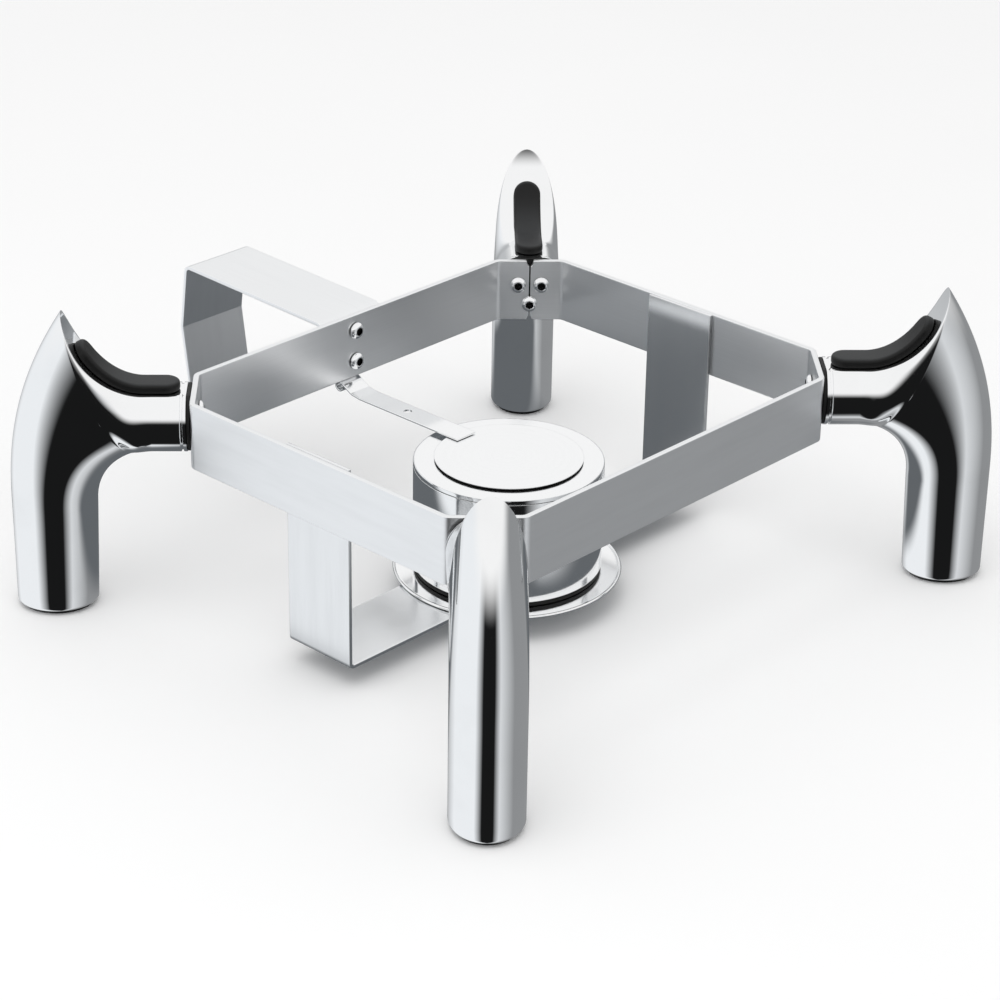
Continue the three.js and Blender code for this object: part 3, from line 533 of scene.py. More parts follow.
# %% Strap and rear bracket
STRAP_WIDTH, STRAP_THICKNESS = 44.0, 2.0
BAR_EDGE = 0.3
STRAP_LEVEL = 11.5 + STRAP_THICKNESS / 2
upright = FRAME_LENGTH / 2 - BAND_THICKNESS - SEAT_GAP - STRAP_THICKNESS / 2
strap_corners = [
    [-upright, STAND_HEIGHT],
    [-upright, STRAP_LEVEL],
    [upright, STRAP_LEVEL],
    [upright, STAND_HEIGHT],
]
ends = rounded_ends(*folded_line(strap_corners, 1.5 + STRAP_THICKNESS / 2), BAR_EDGE)
grid, uv = strip_grid(*ends, STRAP_THICKNESS, -STRAP_WIDTH / 2, STRAP_WIDTH / 2, BAR_EDGE)
piece("strap", grid[:, :, [0, 2, 1]], "root", strap_sheet, "burner_strap", uv)

BRACKET_WIDTH, BRACKET_THICKNESS, BRACKET_REACH = 45.0, 2.0, 110.95
outside = FRAME_DEPTH / 2
tab = outside + SEAT_GAP + BRACKET_THICKNESS / 2
plate = STAND_HEIGHT - BRACKET_THICKNESS / 2


def step_from(place, length, degrees_below):
    """Place a length further, pointing that many degrees below the level."""
    angle = math.radians(degrees_below)
    return [place[0] + length * math.cos(angle), place[1] - length * math.sin(angle)]


upper_fold = [outside + BRACKET_REACH, plate + BRACKET_REACH * math.tan(math.radians(1.5))]
lower_fold = step_from(upper_fold, 38.0, 90 - 7.5)
free_end = step_from(lower_fold, 43.0, 90 + 8.4)
hook = [[tab, BAND_BOTTOM], [tab, plate], upper_fold, lower_fold, free_end]
ends = rounded_ends(*folded_line(hook, 2.5 + BRACKET_THICKNESS / 2), BAR_EDGE)
half = BRACKET_WIDTH / 2
grid, uv = strip_grid(*ends, BRACKET_THICKNESS, -half, half, BAR_EDGE)
piece("bracket", grid[:, :, [2, 0, 1]], "root", band_sheet, "rear_bracket", uv)
print("strap and bracket folded")

# %% [markdown]
# A leg is a row of flat sections. Along the arm they stand upright, round the elbow they lie on rays
# from the elbow's centre, and down the post they lie level. Each section is an egg: widest at the
# belly, a given share of the way from its inner to its outer side. Near the horn the line from the
# inner to the outer side bends upright, as the horn does, so that the face cuts it only once.

# %% Sections of a leg
ARM_UNDERSIDE, ARM_CROWN = 2.6 - BAND_HEIGHT, 2.4
ARM_WIDTH = CORNER_CUT * math.sqrt(2) - 0.9
ELBOW_START, ELBOW_RADIUS, ELBOW_POWER = 20.0, 30.5, 2.15
ELBOW_CENTRE = np.array([ELBOW_START, ARM_UNDERSIDE - ELBOW_RADIUS])
LEG_REACH, POST_WIDTH, POST_TAPER = 95.22, 36.9, 2.0
TIP = np.array([65.0, 43.0])
HORN_WIDTH, HORN_BELLY, HORN_BEND = 36.6, 0.3, np.array([9.6, -0.6])
FLAT_END, FACE_RISE = 24.0, 60.0
FACE_REACH = (TIP[0] - FLAT_END) / math.sqrt(1 - (1 - TIP[1] / FACE_RISE) ** 2)
POST_BOTTOM = 2.2 - STAND_HEIGHT
HORN_STEPS, BACK_STEPS = 84, 64
POST_INNER_FOOT = ELBOW_START + ELBOW_RADIUS + POST_TAPER
TIP_ANGLE = math.atan2(TIP[1] - ELBOW_CENTRE[1], TIP[0] - ELBOW_START)


def outer_reach(z):
    """Reach of the outer side: plumb up to 60 below the band's edge, then in by a power of 2.25."""
    rise = np.maximum(0, z + 60.0) / (TIP[1] + 60.0)
    return LEG_REACH - (LEG_REACH - TIP[0]) * rise**2.25


def sections(inner, outer, half_width, belly, inset=0.0, bend=0.0):
    """Sections as arrays: two points each, half a width, the belly's share and the line's bend."""
    away = outer - inner
    unit = away / np.hypot(*away.T)[:, None]
    inset = np.broadcast_to(inset, len(inner)).astype(float)
    return {
        "inner": inner + unit * inset[:, None],
        "outer": outer - unit * inset[:, None],
        "half": np.broadcast_to(half_width, len(inner)) - inset,
        "belly": np.broadcast_to(belly, len(inner)).astype(float),
        "bend": np.broadcast_to(bend, inner.shape).astype(float),
    }


def horn_outer(share):
    """Outer side above the face, which the cut takes away, at shares of the angle from tip to arm.

    Its distance from the elbow's centre is that of the arm's crown, and a rise of
    (1 + 7t)(1 - t)**6 of the share t, which carries the back's curve on past the tip.
    """
    angle = TIP_ANGLE + share * (math.pi / 2 - TIP_ANGLE)
    crown = ARM_CROWN - ELBOW_CENTRE[1]
    rise = np.hypot(*(TIP - ELBOW_CENTRE)) - crown / math.sin(TIP_ANGLE)
    distance = crown / np.sin(angle) + rise * (1 + 7 * share) * (1 - share) ** 6
    return ELBOW_CENTRE + distance[:, None] * np.stack([np.cos(angle), np.sin(angle)], axis=1)


def elbow_sections(outer):
    """Sections on rays from the elbow's centre. Width, belly and bend fade away from the tip."""
    ray = outer - ELBOW_CENTRE
    angle = np.arctan2(ray[:, 1], ray[:, 0])
    unit = np.stack([np.cos(angle), np.sin(angle)], axis=1)
    superellipse = (np.abs(unit) ** ELBOW_POWER).sum(axis=1, keepdims=True) ** (-1 / ELBOW_POWER)
    inner = ELBOW_CENTRE + ELBOW_RADIUS * superellipse * unit
    arm_side = angle > TIP_ANGLE
    span = np.where(arm_side, math.pi / 2 - TIP_ANGLE, TIP_ANGLE)
    share = np.clip(np.abs(angle - TIP_ANGLE) / span, 0, 1)
    blend = share * share * (3 - 2 * share)
    far = np.where(arm_side, ARM_WIDTH, POST_WIDTH) / 2
    half = HORN_WIDTH / 2 + (far - HORN_WIDTH / 2) * blend
    belly = HORN_BELLY + (0.5 - HORN_BELLY) * blend
    return sections(inner, outer, half, belly, bend=HORN_BEND * (1 - blend)[:, None])


def joined(*parts):
    return {key: np.concatenate([part[key] for part in parts]) for key in parts[0]}


def arm_sections(reaches, insets):
    reaches = np.asarray(reaches, float)
    under = np.stack([reaches, np.full(len(reaches), ARM_UNDERSIDE)], axis=1)
    crown = np.stack([reaches, np.full(len(reaches), ARM_CROWN)], axis=1)
    return sections(under, crown, ARM_WIDTH / 2, 0.5, insets)


def leg_sections():
    """All sections of the leg, and how many of them the face cuts."""
    arm = arm_sections([2.3, 3.9, 4.08, 4.2, 5.2, 5.32, 5.5, 9, 14], [0, 0, 0.9, 1, 1, 0.9, 0, 0, 0])
    horn = elbow_sections(horn_outer(np.linspace(1, 0, HORN_STEPS) ** 2))
    z = TIP[1] + (ELBOW_CENTRE[1] - TIP[1]) * (np.arange(1, BACK_STEPS + 1) / BACK_STEPS) ** 1.25
    back = elbow_sections(np.stack([outer_reach(z), z], axis=1))
    angles = np.radians(np.linspace(0, 90, 7))
    z = np.concatenate([
        np.linspace(ELBOW_CENTRE[1], POST_BOTTOM + 2, 12)[1:-1],
        POST_BOTTOM + 2 * (1 - np.sin(angles)),
    ])
    inset = np.concatenate([np.zeros(10), 2 * (1 - np.cos(angles))])
    taper = POST_TAPER * (z - POST_BOTTOM) / (ELBOW_CENTRE[1] - POST_BOTTOM)
    inner = np.stack([POST_INNER_FOOT - taper, z], axis=1)
    post = sections(inner, np.stack([outer_reach(z), z], axis=1), POST_WIDTH / 2, 0.5, inset)
    return joined(arm, horn, back, post), len(arm["half"]) + HORN_STEPS


print("the tip lies", round(math.degrees(TIP_ANGLE), 1), "degrees above the elbow's centre")

# %% [markdown]
# The top of the leg is cut by a flat that turns into a concave face, part of an ellipse in side view.
# The cut meets each section in a straight line, and halving finds how far along. So no boolean is
# needed: each ring runs round the egg up to that line, turns a small rounded corner, and crosses
# straight over. Beyond the tip nothing is cut, and the crossing shrinks to nothing.


# %% Rings of a leg
def on_line(section, share):
    """Places at shares s of the way from inner to outer: straight, and 2s(1 - s) of the bend."""
    inner, outer, bend = (section[key][:, None] for key in ("inner", "outer", "bend"))
    s = share[:, :, None]
    return inner + s * (outer - inner) + 2 * s * (1 - s) * bend


def face_share(section):
    """Share at which each line meets the flat or the ellipse, by halving; 1 where it meets neither."""
    low = np.zeros((len(section["half"]), 1))
    high = np.ones_like(low)
    for _ in range(40):
        middle = (low + high) / 2
        x, z = np.moveaxis(on_line(section, middle), -1, 0)
        ellipse = ((x - FLAT_END) / FACE_REACH) ** 2 + (1 - z / FACE_RISE) ** 2 < 1
        cut = np.where(x <= FLAT_END, z > 0, ellipse)
        low, high = np.where(cut, low, middle), np.where(cut, middle, high)
    return high[:, 0]


def egg(section, angle):
    """Across and along a section for an angle: cosine of it across, sine of it from the belly."""
    length = np.hypot(*(section["outer"] - section["inner"]).T)[:, None]
    belly = section["belly"][:, None] * length
    reach = np.where(np.sin(angle) < 0, belly, length - belly)
    return section["half"][:, None] * np.cos(angle), belly + reach * np.sin(angle)


def leg_rings(section, cut_count, rounding, turns=92, corner=9, crossing=22):
    """Closed rings in leg coordinates: corner, round the egg, corner, straight over the face."""
    length = np.hypot(*(section["outer"] - section["inner"]).T)
    cut = np.arange(len(length)) < cut_count
    distance = np.where(cut, face_share(section), 1.0) * length
    belly = section["belly"] * length
    reach = np.where(distance < belly, belly, length - belly)
    rim = np.arcsin(np.clip((distance - belly) / reach, -1, 1))
    rim_across = section["half"] * np.cos(rim)
    soft = np.where(cut, np.minimum(rounding, 0.45 * rim_across), 0)
    slope = np.hypot(section["half"] * np.sin(rim), reach * np.cos(rim))
    rim_step = soft / np.maximum(slope, 1e-6)
    share = np.linspace(0, 1, turns)
    angle = (rim - rim_step)[:, None] - share * (math.pi + 2 * (rim - rim_step))[:, None]
    across, along = egg(section, angle)
    t = np.linspace(0, 1, corner)[:-1]
    start = np.stack([rim_across - soft, distance], axis=1)[:, None]
    middle = np.stack([rim_across, distance], axis=1)[:, None]
    end = np.stack([across[:, 0], along[:, 0]], axis=1)[:, None]
    t = t[None, :, None]
    bend = (1 - t) ** 2 * start + 2 * t * (1 - t) * middle + t**2 * end
    over = -(rim_across - soft)[:, None] * (1 - 2 * np.linspace(0, 1, crossing)[1:-1])
    level = np.broadcast_to(distance[:, None], over.shape)
    across = np.concatenate([bend[:, :, 0], across, -bend[:, ::-1, 0], over], axis=1)
    along = np.concatenate([bend[:, :, 1], along, bend[:, ::-1, 1], level], axis=1)
    flat = on_line(section, along / length[:, None])
    return np.stack([flat[:, :, 0], across, flat[:, :, 1]], axis=2)


def closed_ends(rings):
    """Adds a ring shrunk to its middle at both ends."""
    ends = [np.broadcast_to(ring.mean(axis=0), ring.shape)[None] for ring in (rings[0], rings[-1])]
    return np.concatenate([ends[0], rings, ends[1]])


def foot_recess(rings):
    """Level rings that follow the last one: in to the foot's outline, and up inside it."""
    last = rings[-1]
    middle = np.array([(POST_INNER_FOOT + LEG_REACH) / 2, 0.0, 0.0])
    half = np.array([(LEG_REACH - POST_INNER_FOOT) / 2, POST_WIDTH / 2, 1.0])
    rim = middle + (last - middle) / (half - [2, 2, 0]) * (half - [2.6, 2.6, 0])
    rim[:, 2] = last[:, 2]
    return np.stack([rim, rim + [0, 0, 2.1]])


def at_corner(points, side_x, side_y):
    """Turns leg coordinates to a corner's heading and moves them to the middle of its face."""
    x, y, z = np.moveaxis(points, -1, 0)
    c = math.sqrt(0.5)
    return np.stack([
        side_x * (FACE_X + c * x) - side_y * c * y,
        side_y * (FACE_Y + c * x) + side_x * c * y,
        STAND_HEIGHT + z,
    ], axis=-1)


section, cut_count = leg_sections()
rim_round = 1.4 + 2.8 * np.sin(np.linspace(0, math.pi, cut_count)) ** 2
rim_round = np.concatenate([rim_round, np.full(len(section["half"]) - cut_count, 1.4)])
rings = leg_rings(section, cut_count, rim_round)
leg_shape = closed_ends(np.concatenate([rings, foot_recess(rings)]))
for corner, sides in CORNERS.items():
    made = piece(f"horned_leg_{corner}", at_corner(leg_shape, *sides), "root", leg_polish,
                 f"leg_{corner}")
print("leg:", len(made.data.polygons), "faces")

# %% [markdown]
# The gasket between the band and the arm has the arm's outline, a little smaller, so the same rings
# make it. The pad is a stadium in plan, drawn as outlines one inside the other. Each outline has a
# height, and the whole stack is then bent along the flat and up the concave face. The foot is an
# ellipse with a rounded lower edge.

# %% Gaskets, pads and feet
PAD_START, PAD_WIDTH, PAD_THICKNESS, PAD_END_RISE = 5.6, 15.5, 4.8, 25.2


def gasket_shape():
    flat = arm_sections([0.3, 0.45, 1.85, 2.0], [0.6, 0.4, 0.4, 0.6])
    return closed_ends(leg_rings(flat, 4, 0.4, turns=60, corner=4, crossing=8))


def pad_outline(inset, length, count=28):
    """Stadium: two half circles round the ends of the middle line, smaller by the inset."""
    half = PAD_WIDTH / 2
    angle = np.linspace(-math.pi / 2, math.pi / 2, count)
    run = np.linspace(0, 1, 30)[1:-1]
    radius = half - inset
    far = np.stack([length - half + radius * np.cos(angle), radius * np.sin(angle)], axis=1)
    back = np.stack([length - half - run * (length - 2 * half), np.full(len(run), radius)], axis=1)
    near = np.stack([half - radius * np.cos(angle), -radius * np.sin(angle)], axis=1)
    forth = np.stack([half + run * (length - 2 * half), np.full(len(run), -radius)], axis=1)
    return np.concatenate([far, back, near, forth])


def pad_shape():
    """Outlines at their heights, bent: straight over the flat, then by angle up the ellipse."""
    end_angle = math.acos(1 - PAD_END_RISE / FACE_RISE)
    flat = FLAT_END - PAD_START
    curve = end_angle * (FACE_REACH + FACE_RISE) / 2
    round_up = np.radians(np.linspace(0, 90, 9))
    edge = 1.9
    insets = np.concatenate([[PAD_WIDTH / 2, 1.0, 0.25, 0], edge * (1 - np.cos(round_up)),
                             [3.2, 4.6, 6.2, PAD_WIDTH / 2]])
    heights = np.concatenate([[0, 0, 0.25, 0.9], PAD_THICKNESS - edge * (1 - np.sin(round_up)),
                              PAD_THICKNESS + np.array([0.03, 0.05, 0.06, 0.06])])
    plan = np.stack([pad_outline(inset, flat + curve) for inset in insets])
    angle = np.maximum(plan[..., 0] - flat, 0) / curve * end_angle
    foot_x = np.minimum(plan[..., 0], flat) + PAD_START + (FACE_REACH - SEAT_GAP) * np.sin(angle)
    foot_z = SEAT_GAP + (FACE_RISE - SEAT_GAP) * (1 - np.cos(angle))
    up = np.stack([-np.sin(angle) / FACE_REACH, np.cos(angle) / FACE_RISE], axis=2)
    up /= np.linalg.norm(up, axis=2, keepdims=True)
    height = heights[:, None]
    return np.stack([foot_x + up[..., 0] * height, plan[..., 1], foot_z + up[..., 1] * height], axis=2)


def foot_shape():
    middle = (POST_INNER_FOOT + LEG_REACH) / 2
    radius_x, radius_y = (LEG_REACH - POST_INNER_FOOT) / 2 - 2.9, POST_WIDTH / 2 - 2.9
    bend = np.radians([0, 30, 60, 90])
    inset = np.concatenate([0.8 * (1 - np.sin(bend)), [0, 0.2]])[:, None]
    height = np.concatenate([0.8 * (1 - np.cos(bend)), [3.8, 4.0]])[:, None]
    angle = np.linspace(0, 2 * math.pi, 73)[:-1]
    shape = [middle + (radius_x - inset) * np.cos(angle), (radius_y - inset) * np.sin(angle)]
    level = np.broadcast_to(height - STAND_HEIGHT, shape[0].shape)
    return closed_ends(np.stack([*shape, level], axis=2))


for corner, sides in CORNERS.items():
    small = {"gasket": (gasket_shape(), seal_rubber, "black_rubber"),
             "pad": (pad_shape(), pad_rubber, "pad"),
             "foot": (foot_shape(), seal_rubber, "black_rubber")}
    for kind, (shape, material, slot) in small.items():
        piece(f"rubber_{kind}_{corner}", at_corner(shape, *sides), "root", material,
              f"{kind}_{corner}")
print("gaskets, pads and feet made")

# %% [markdown]
# Button-head screws hold the legs and the bracket. A head is a dome with a hexagon socket. All rings
# have the same 48 points; in the socket their radius follows a hexagon, which is half its width across
# flats divided by the cosine of the angle from the nearest flat's middle.


# %% Screws
def screw_shape(length):
    """Screw along +X with the underside of its head at the origin, and its map of painted shade."""
    head, height, shank, flats, depth = 4.75, 2.75, 2.5, 3.7, 1.6
    dome = np.radians(np.linspace(0, 60, 9))
    rise = np.sin(dome) / math.sin(dome[-1])
    fall = (1 - np.cos(dome)) / (1 - math.cos(dome[-1]))
    radii = np.concatenate([[0, shank - 0.5, shank, shank, head - 0.15, head],
                            head - fall * (head - 2.6), [2.5]])
    reach = np.concatenate([[length, length, length - 0.5, 0, 0, -0.15],
                            -0.5 - rise * (height - 0.5), [-height]])
    angle = np.linspace(0, 2 * math.pi, 49)[:-1]
    hexagon = flats / 2 / np.cos((angle + math.pi / 6) % (math.pi / 3) - math.pi / 6)
    rings = [np.full(48, radius) for radius in radii] + [hexagon * 1.08, hexagon, hexagon, hexagon * 0]
    reach = np.concatenate([reach, [-height, 0.2 - height, depth - height, depth + 0.5 - height]])
    rings = np.stack(rings)
    along = np.broadcast_to(reach[:, None], rings.shape)
    # Painted shade: the shank, the head's underside and the socket are marked to be painted near black.
    dark = np.zeros(len(rings))
    dark[:6] = 1
    dark[-4:] = 1
    uv = np.stack(np.broadcast_arrays(angle[None] / math.tau, dark[:, None]), axis=2)
    return np.stack([along, rings * np.cos(angle), rings * np.sin(angle)], axis=2), uv


ARM_MIDDLE = (ARM_UNDERSIDE + ARM_CROWN) / 2
SCREW_PLACES = [(-6.6, ARM_MIDDLE + 1), (6.6, ARM_MIDDLE + 1), (0, ARM_MIDDLE - 10.5)]
for corner, sides in CORNERS.items():
    for number, (y, z) in enumerate(SCREW_PLACES, 1):
        shape, uv = screw_shape(16.0)
        shape = at_corner(shape + [-BAND_THICKNESS - SEAT_GAP, y, z], *sides)
        name = f"screw_{corner}_{number}"
        piece(f"button_{name}", shape, "root", screw_polish, name, uv)
for level, height in {"upper": 114.0, "lower": 96.0}.items():
    shape, uv = screw_shape(12.0)
    shape = shape[..., [1, 0, 2]] + [0, FRAME_DEPTH / 2 - BAND_THICKNESS - SEAT_GAP, height]
    name = f"bracket_screw_{level}"
    piece(f"button_{name}", shape, "root", screw_polish, name, uv)
print("14 screws made")

# %% [markdown]
# The burner's parts are turned: a profile of radius and height, carried round the axis. Real spun
# sheet has no knife edges, so each corner of a profile is given a radius, and an arc takes its place.


# %% Turned parts
def soften(profile):
    """Profile of (radius, height, rounding) rows with a quadratic bend instead of each corner.

    Each bend has one more point on the straight at either side, so that the straight is shaded flat.
    """
    profile = np.asarray(profile, float)
    points = [profile[:1, :2]]
    t = np.linspace(0, 1, 6)[:, None]
    for before, here, after in zip(profile[:-2], profile[1:-1], profile[2:]):
        arms = [other[:2] - here[:2] for other in (before, after)]
        sizes = [np.hypot(*arm) for arm in arms]
        units = [arm / size for arm, size in zip(arms, sizes)]
        used = [min(here[2], 0.42 * size) for size in sizes]
        start, end = (here[:2] + unit * length for unit, length in zip(units, used))
        bend = (1 - t) ** 2 * start + 2 * t * (1 - t) * here[:2] + t**2 * end
        spare = [min(0.3, 0.3 * (size / 2 - length)) for size, length in zip(sizes, used)]
        points += [[start + units[0] * spare[0]], bend, [end + units[1] * spare[1]]]
    points.append(profile[-1:, :2])
    return np.concatenate(points)


def turned_grid(profile, bottom, steps=144):
    """Profile points carried round the burner's axis."""
    points = soften(profile)
    angle = np.linspace(0, 2 * math.pi, steps + 1)[:-1]
    radius, height = points[:, :1], points[:, 1:] + bottom
    shape = [BURNER[0] + radius * np.cos(angle), BURNER[1] + radius * np.sin(angle)]
    return np.stack([*shape, np.broadcast_to(height, shape[0].shape)], axis=2)


SHEET, CASING_RADIUS, FOOT_RADIUS, OPENING_RADIUS, DISC_RADIUS = 1.2, 50.5, 48.0, 36.0, 39.5
CASING_INSIDE, FOOT_INSIDE, FOOT_STEP = CASING_RADIUS - SHEET, FOOT_RADIUS - SHEET, 2.6


def level_of(node, end):
    """Lowest or highest level of a CAD node, in millimetres."""
    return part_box(node)[end].z / MM


def spun(name, node, profile, body):
    """Turned piece of burner steel in place of a CAD node, its profile measured from the node's foot."""
    piece(name, turned_grid(profile, level_of(node, 0)), body, burner_steel, node)


spun("spun_plate", "drip_plate", [
    [0, 0, 0], [60.7, 0, 0.5], [61.4, 0.9, 0.7], [60.6, 1.8, 0.6], [59.7, SHEET, 0.8], [0, SHEET, 0],
], "burner")
tall = level_of("burner_casing", 1) - level_of("burner_casing", 0)
spun("spun_casing", "burner_casing", [
    [0, 0, 0], [FOOT_RADIUS, 0, 0.3], [FOOT_RADIUS, FOOT_STEP, 0.2], [CASING_RADIUS, FOOT_STEP, 0.5],
    [CASING_RADIUS, tall, 0.2], [CASING_INSIDE, tall, 0.2], [CASING_INSIDE, FOOT_STEP + SHEET, 0.4],
    [FOOT_INSIDE, FOOT_STEP + SHEET, 0.3], [FOOT_INSIDE, SHEET, 0.4], [0, SHEET, 0],
], "burner")
spun("spun_disc", "snuffer_disc", [
    [0, 0.75, 0], [DISC_RADIUS, 0.75, 0.2], [DISC_RADIUS, SHEET, 0.25], [0, SHEET, 0],
], "lid")
# The cap rests on the casing's edge, with its collar hanging inside and its lip lining the opening.
cap = [[OPENING_RADIUS, -3, 0.2], [37.2, -3, 0.2], [37.2, -1.2, 0.3], [47.8, -1.2, 0.3], [47.8, -5, 0.2],
       [49, -5, 0.2], [49, -2.6, 0.2], [CASING_RADIUS, -2.6, 0.2], [CASING_RADIUS, 0, 0.9],
       [OPENING_RADIUS, 0, 0.7], [OPENING_RADIUS, -3, 0.2]]
cap_top = level_of("cap_ring", 1)
piece("spun_cap", turned_grid(cap, cap_top)[:-1], "burner", burner_steel, "cap_ring",
      closed_rows=True)
print("burner turned, cap at", round(cap_top, 1), "mm")

# %% [markdown]
# Two thin black rings are pieces of their own here, which the CAD part leaves out. One lies under the
# edge of the snuffer disc: it is painted shade, a black ring that draws the dark line of the shade round
# the disc. The other is a black ring in the step at the casing's foot, which draws the black line there.

# %% Black rings
def dark_ring(name, node, body, inner, outer, low, high, flare, rounding):
    """Ring of rectangular section in black rubber, from low to high above a CAD node's foot."""
    rows = [[inner, low, 0], [outer, low, rounding], [outer + flare, high, rounding],
            [inner, high, 0], [inner, low, 0]]
    grid = turned_grid(rows, level_of(node, 0))[:-1]
    piece(name, grid, body, seal_rubber, closed_rows=True)


# Painted shade: this black ring under the disc's edge stands for the shade there.
dark_ring("disc_edge_shade", "snuffer_disc", "lid", 30, 39.2, 0.06, 0.74, 0.1, 0.1)
dark_ring("casing_foot_ring", "burner_casing", "burner", 48.1, 50.1, 0.1, 2.4, 0, 0.4)
print("black rings made")

# %% [markdown]
# The lid's arm is a thin strip that rests on the disc. Its outer end bends up twice and is rolled over,
# which gives the fingers a smooth edge. A small hole is drilled through the level part; here a Boolean
# modifier cuts it, and the result is kept as the mesh.

# %% Lid arm
ARM_WIDE, ARM_THIN = 14.0, 1.0
inner_end = BURNER[1] + DISC_RADIUS - 8.5
level_end = FRAME_DEPTH / 2 - 15.5
second = step_from([level_end, 0], 6.5, -8.0)
third = step_from(second, 9.2, -28.5)
places, ways = folded_line([[inner_end, 0], [level_end, 0], second, third], 2.5, 4.0)
curl_radius, curl = 3.2 - ARM_THIN / 2, -math.radians(280)
heading = ways[-1]
turn = heading + curl * np.linspace(0, 1, 57)[1:]
middle = places[-1] - curl_radius * np.array([-math.sin(heading), math.cos(heading)])
hem = middle - curl_radius * np.stack([np.sin(turn), -np.cos(turn)], axis=1)
places, ways = np.concatenate([places, hem]), np.concatenate([ways, turn])
ends = rounded_ends(places, ways, 0.2)
grid, uv = strip_grid(*ends, ARM_THIN, -ARM_WIDE / 2, ARM_WIDE / 2, 0.25)
arm_level = level_of("lid_arm", 0) + ARM_THIN / 2
grid = grid[:, :, [2, 0, 1]] + [BURNER[0], 0, arm_level]
arm = piece("folded_lid_arm", grid, "lid", burner_steel, "lid_arm", uv)


def drill(thing, x, y, z, radius):
    """Cuts an upright round hole through a piece and keeps the cut mesh."""
    angle = np.linspace(0, 2 * math.pi, 49)[:-1]
    ring = np.stack([x + radius * np.cos(angle), y + radius * np.sin(angle), np.full(48, z)], axis=1)
    rod = piece("drill", closed_ends(np.stack([ring - [0, 0, 3], ring + [0, 0, 3]])), "lid",
                burner_steel)
    cut = thing.modifiers.new("hole", "BOOLEAN")
    cut.object, cut.operation, cut.solver = rod, "DIFFERENCE", "EXACT"
    evaluated = thing.evaluated_get(bpy.context.evaluated_depsgraph_get())
    cut_mesh = bpy.data.meshes.new_from_object(evaluated)
    thing.modifiers.clear()
    cut_mesh.set_sharp_from_angle(angle=SHARP_ANGLE)
    thing.data = cut_mesh
    bpy.data.objects.remove(rod)


drill(arm, BURNER[0], inner_end + 44.0, arm_level, 2.25)
print("lid arm:", len(arm.data.polygons), "faces")

# %% [markdown]
# Three kinds of CAD solids are right as they are and stay: the fuel can inside the casing and the two
# nuts. They only need a finish with some life in it.

# %% Finishes of the CAD solids that stay
for node, finish in {
    "fuel_can": can_steel,
    "bracket_nut_upper": nut_polish,
    "bracket_nut_lower": nut_polish,
}.items():
    for material_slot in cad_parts[node].material_slots:
        material_slot.material = finish
print("kept: fuel can and nuts")

# %% [markdown]
# The photograph was taken from the front left, 26 degrees above the table, with a long lens. The camera
# stands where the corners of the band, the feet and the tips of the horns fall on the same pixels.

# %% Camera
AZIMUTH, ELEVATION, ROLL = math.radians(-47.23), math.radians(26.31), math.radians(1.0)
TARGET = np.array([-110.0, -96.1, 123.0])
DISTANCE, FOCAL = 1397.8, 2935.5
back = np.array([
    math.sin(AZIMUTH) * math.cos(ELEVATION),
    -math.cos(AZIMUTH) * math.cos(ELEVATION),
    math.sin(ELEVATION),
])
level_right = np.cross(-back, [0, 0, 1])
level_right /= np.linalg.norm(level_right)
level_up = np.cross(level_right, -back)
right = math.cos(ROLL) * level_right + math.sin(ROLL) * level_up
up = -math.sin(ROLL) * level_right + math.cos(ROLL) * level_up
lens = bpy.data.cameras.new("camera")
lens.sensor_width = 36.0
lens.lens = FOCAL / 1000 * lens.sensor_width
lens.clip_start, lens.clip_end = 0.01, 20.0
camera = bpy.data.objects.new("camera", lens)
pose = np.eye(4)
pose[:3, :3] = np.stack([right, up, back], axis=1)
pose[:3, 3] = (TARGET + SHIFT + DISTANCE * back) * MM
camera.matrix_world = Matrix(pose.tolist())
bpy.context.scene.collection.objects.link(camera)
bpy.context.scene.camera = camera
print("lens:", round(lens.lens, 1), "mm")

# %% [markdown]
# A mirror shows its surroundings, so the studio is half of the picture. The camera sees a plain white
# room. Metal sees the room as it stands: dark behind the photographer, light on the left, grey on the
# right and at the rear, and white overhead. The tones belong to the room, not to the camera, so they
# stay in place when another view is taken. Each wall tone is a bearing in degrees and a grey.

# %% World
STUDIO_FRONT = back[:2] / np.hypot(*back[:2])
STUDIO_RIGHT = np.array([-STUDIO_FRONT[1], STUDIO_FRONT[0]])
WALL_TONES = [
    (-180, 0.3), (-120, 0.95), (-45, 0.95), (-20, 0.01), (20, 0.01), (40, 0.75), (90, 0.3), (180, 0.3),
]
WALL_FOOT, WALL_TOP = 0.0, 0.35
world = bpy.data.worlds.new("studio")
bpy.context.scene.world = world
nodes = Nodes(world)
x, y, height = nodes.split(nodes.node("ShaderNodeTexCoord", None, None, 0))
light = nodes.tint(height.between(-0.3, 0.5), grey(0.88), grey(0.95))
to_front = x * STUDIO_FRONT[0] + y * STUDIO_FRONT[1]
to_right = x * STUDIO_RIGHT[0] + y * STUDIO_RIGHT[1]
bearing = to_front.maths("ARCTAN2", to_right, to_front) / (2 * math.pi) + 0.5
stops = [((angle + 180) / 360, grey(tone, 0.05)) for angle, tone in WALL_TONES]
walls = nodes.node("ShaderNodeValToRGB", {"stops": stops}, {0: bearing})
room = nodes.tint(height.between(WALL_FOOT, WALL_TOP), walls, grey(0.98))
camera_ray, glossy_ray, transmission_ray = (
    nodes.node("ShaderNodeLightPath", None, None, output) for output in (0, 3, 6))
lit = nodes.tint(glossy_ray, light, room)
shown = nodes.tint(camera_ray.maths("MAXIMUM", camera_ray, transmission_ray), lit, grey(1.0))
glow = nodes.node("ShaderNodeBackground", None, {"Color": shown, "Strength": 1.0})
nodes.node("ShaderNodeOutputWorld", None, {"Surface": glow})
print("world: white room, dark behind the photographer")

# %% [markdown]
# The floor is a plain pale table. It takes the stand's soft shadow, and for the camera a little light
# of its own lifts it to white.


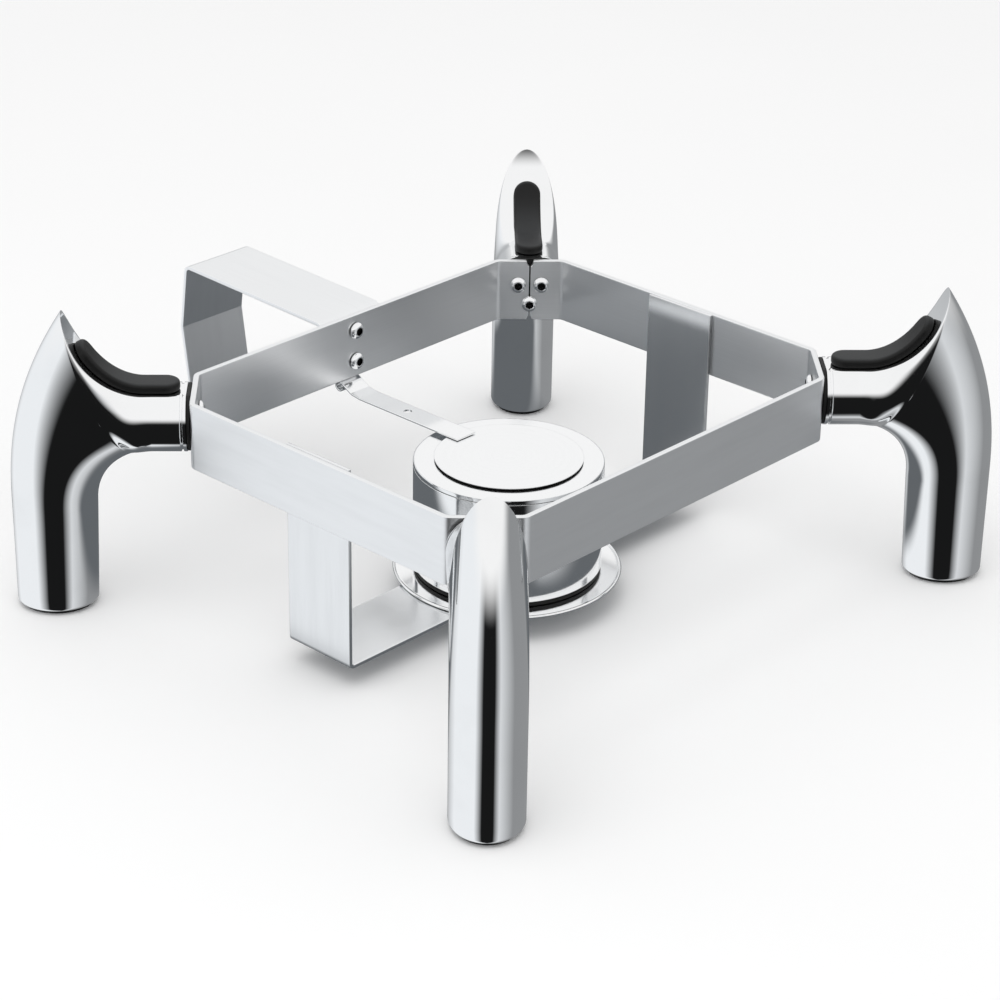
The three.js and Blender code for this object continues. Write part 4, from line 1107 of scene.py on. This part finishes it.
# %% Floor
def stage_mesh(name, points, faces, material):
    """Mesh in design millimetres that isn't part of the object."""
    mesh = bpy.data.meshes.new(name)
    mesh.from_pydata(((np.asarray(points, float) + SHIFT) * MM).tolist(), [], faces)
    mesh.materials.append(material)
    thing = bpy.data.objects.new(name, mesh)
    bpy.context.scene.collection.objects.link(thing)
    thing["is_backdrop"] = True
    return thing


def square(half, z):
    return [[-half, -half, z], [half, -half, z], [half, half, z], [-half, half, z]]


table_top, nodes = start_material("table_top", grey(0.9), 0.0, 0.9)
place = nodes.node("ShaderNodeTexCoord", None, None, 3)
cloud = nodes.noise(place, 3.0, 2.0)
feed(nodes, Base_Color=nodes.tint(cloud, grey(0.90), grey(0.92)))
seen = nodes.node("ShaderNodeLightPath", None, None, 0)
glow = nodes.node("ShaderNodeEmission", None, {"Color": grey(1.0), "Strength": seen * 0.33})
both = nodes.node("ShaderNodeAddShader", None, {0: Signal(nodes, nodes.shader.outputs[0]), 1: glow})
nodes.node("ShaderNodeOutputMaterial", None, {"Surface": both})
floor = stage_mesh("floor", square(4000, 0), [(0, 1, 2, 3)], table_top)
floor.visible_glossy = False
print("floor made")

# %% [markdown]
# The stand shades the table under and behind it. Metal sees that patch of the table as dark grey with
# soft edges. The rest of the table is left out of reflections, so the room shows past the patch.

# %% The shaded table in reflections
shaded = bpy.data.materials.new("shaded_table")
nodes = Nodes(shaded)
x, y, _ = nodes.split(nodes.node("ShaderNodeTexCoord", None, None, 3))
inside = x.between(-0.17, -0.13) * (1 - x.between(0.16, 0.20))
inside = inside * y.between(-0.16, -0.12) * (1 - y.between(0.24, 0.30))
# Painted shade: the patch is a dark grey glow that only reflections see.
glow = nodes.node("ShaderNodeEmission", None, {"Color": grey(0.15, 0.14), "Strength": 1.0})
clear = nodes.node("ShaderNodeBsdfTransparent")
both = nodes.node("ShaderNodeMixShader", None, {0: inside, 1: clear, 2: glow})
nodes.node("ShaderNodeOutputMaterial", None, {"Surface": both})
shaded.cycles.emission_sampling = "NONE"
patch = stage_mesh("shaded_table", square(400, 0.1), [(0, 1, 2, 3)], shaded)
for ray in ("camera", "diffuse", "shadow", "transmission"):
    setattr(patch, f"visible_{ray}", False)
print("shaded table placed")

# %% [markdown]
# One large soft lamp above the stand, on its left, adds a little direction to the light.

# %% Lamp
lamp = bpy.data.lights.new("soft_box", "AREA")
lamp.shape, lamp.size, lamp.energy = "SQUARE", 1.2, 6.0
soft_box = bpy.data.objects.new("soft_box", lamp)
soft_box.location = (-0.6, -0.2, 1.6)
soft_box.rotation_euler = (0.0, math.radians(-20), 0.0)
soft_box.visible_glossy = False
bpy.context.scene.collection.objects.link(soft_box)
print("lamp placed")

# %% [markdown]
# The picture is shown without any tone curve, so that a colour renders about as it is written. The last
# lines keep the size of the CAD part and of the dressed one.

# %% Finish
bpy.context.scene.view_settings.view_transform = "Standard"
boxes = [[list(corner) for corner in box] for box in (cad_box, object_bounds())]
print("boxes:", [[[round(v * 1000, 2) for v in corner] for corner in box] for box in boxes])
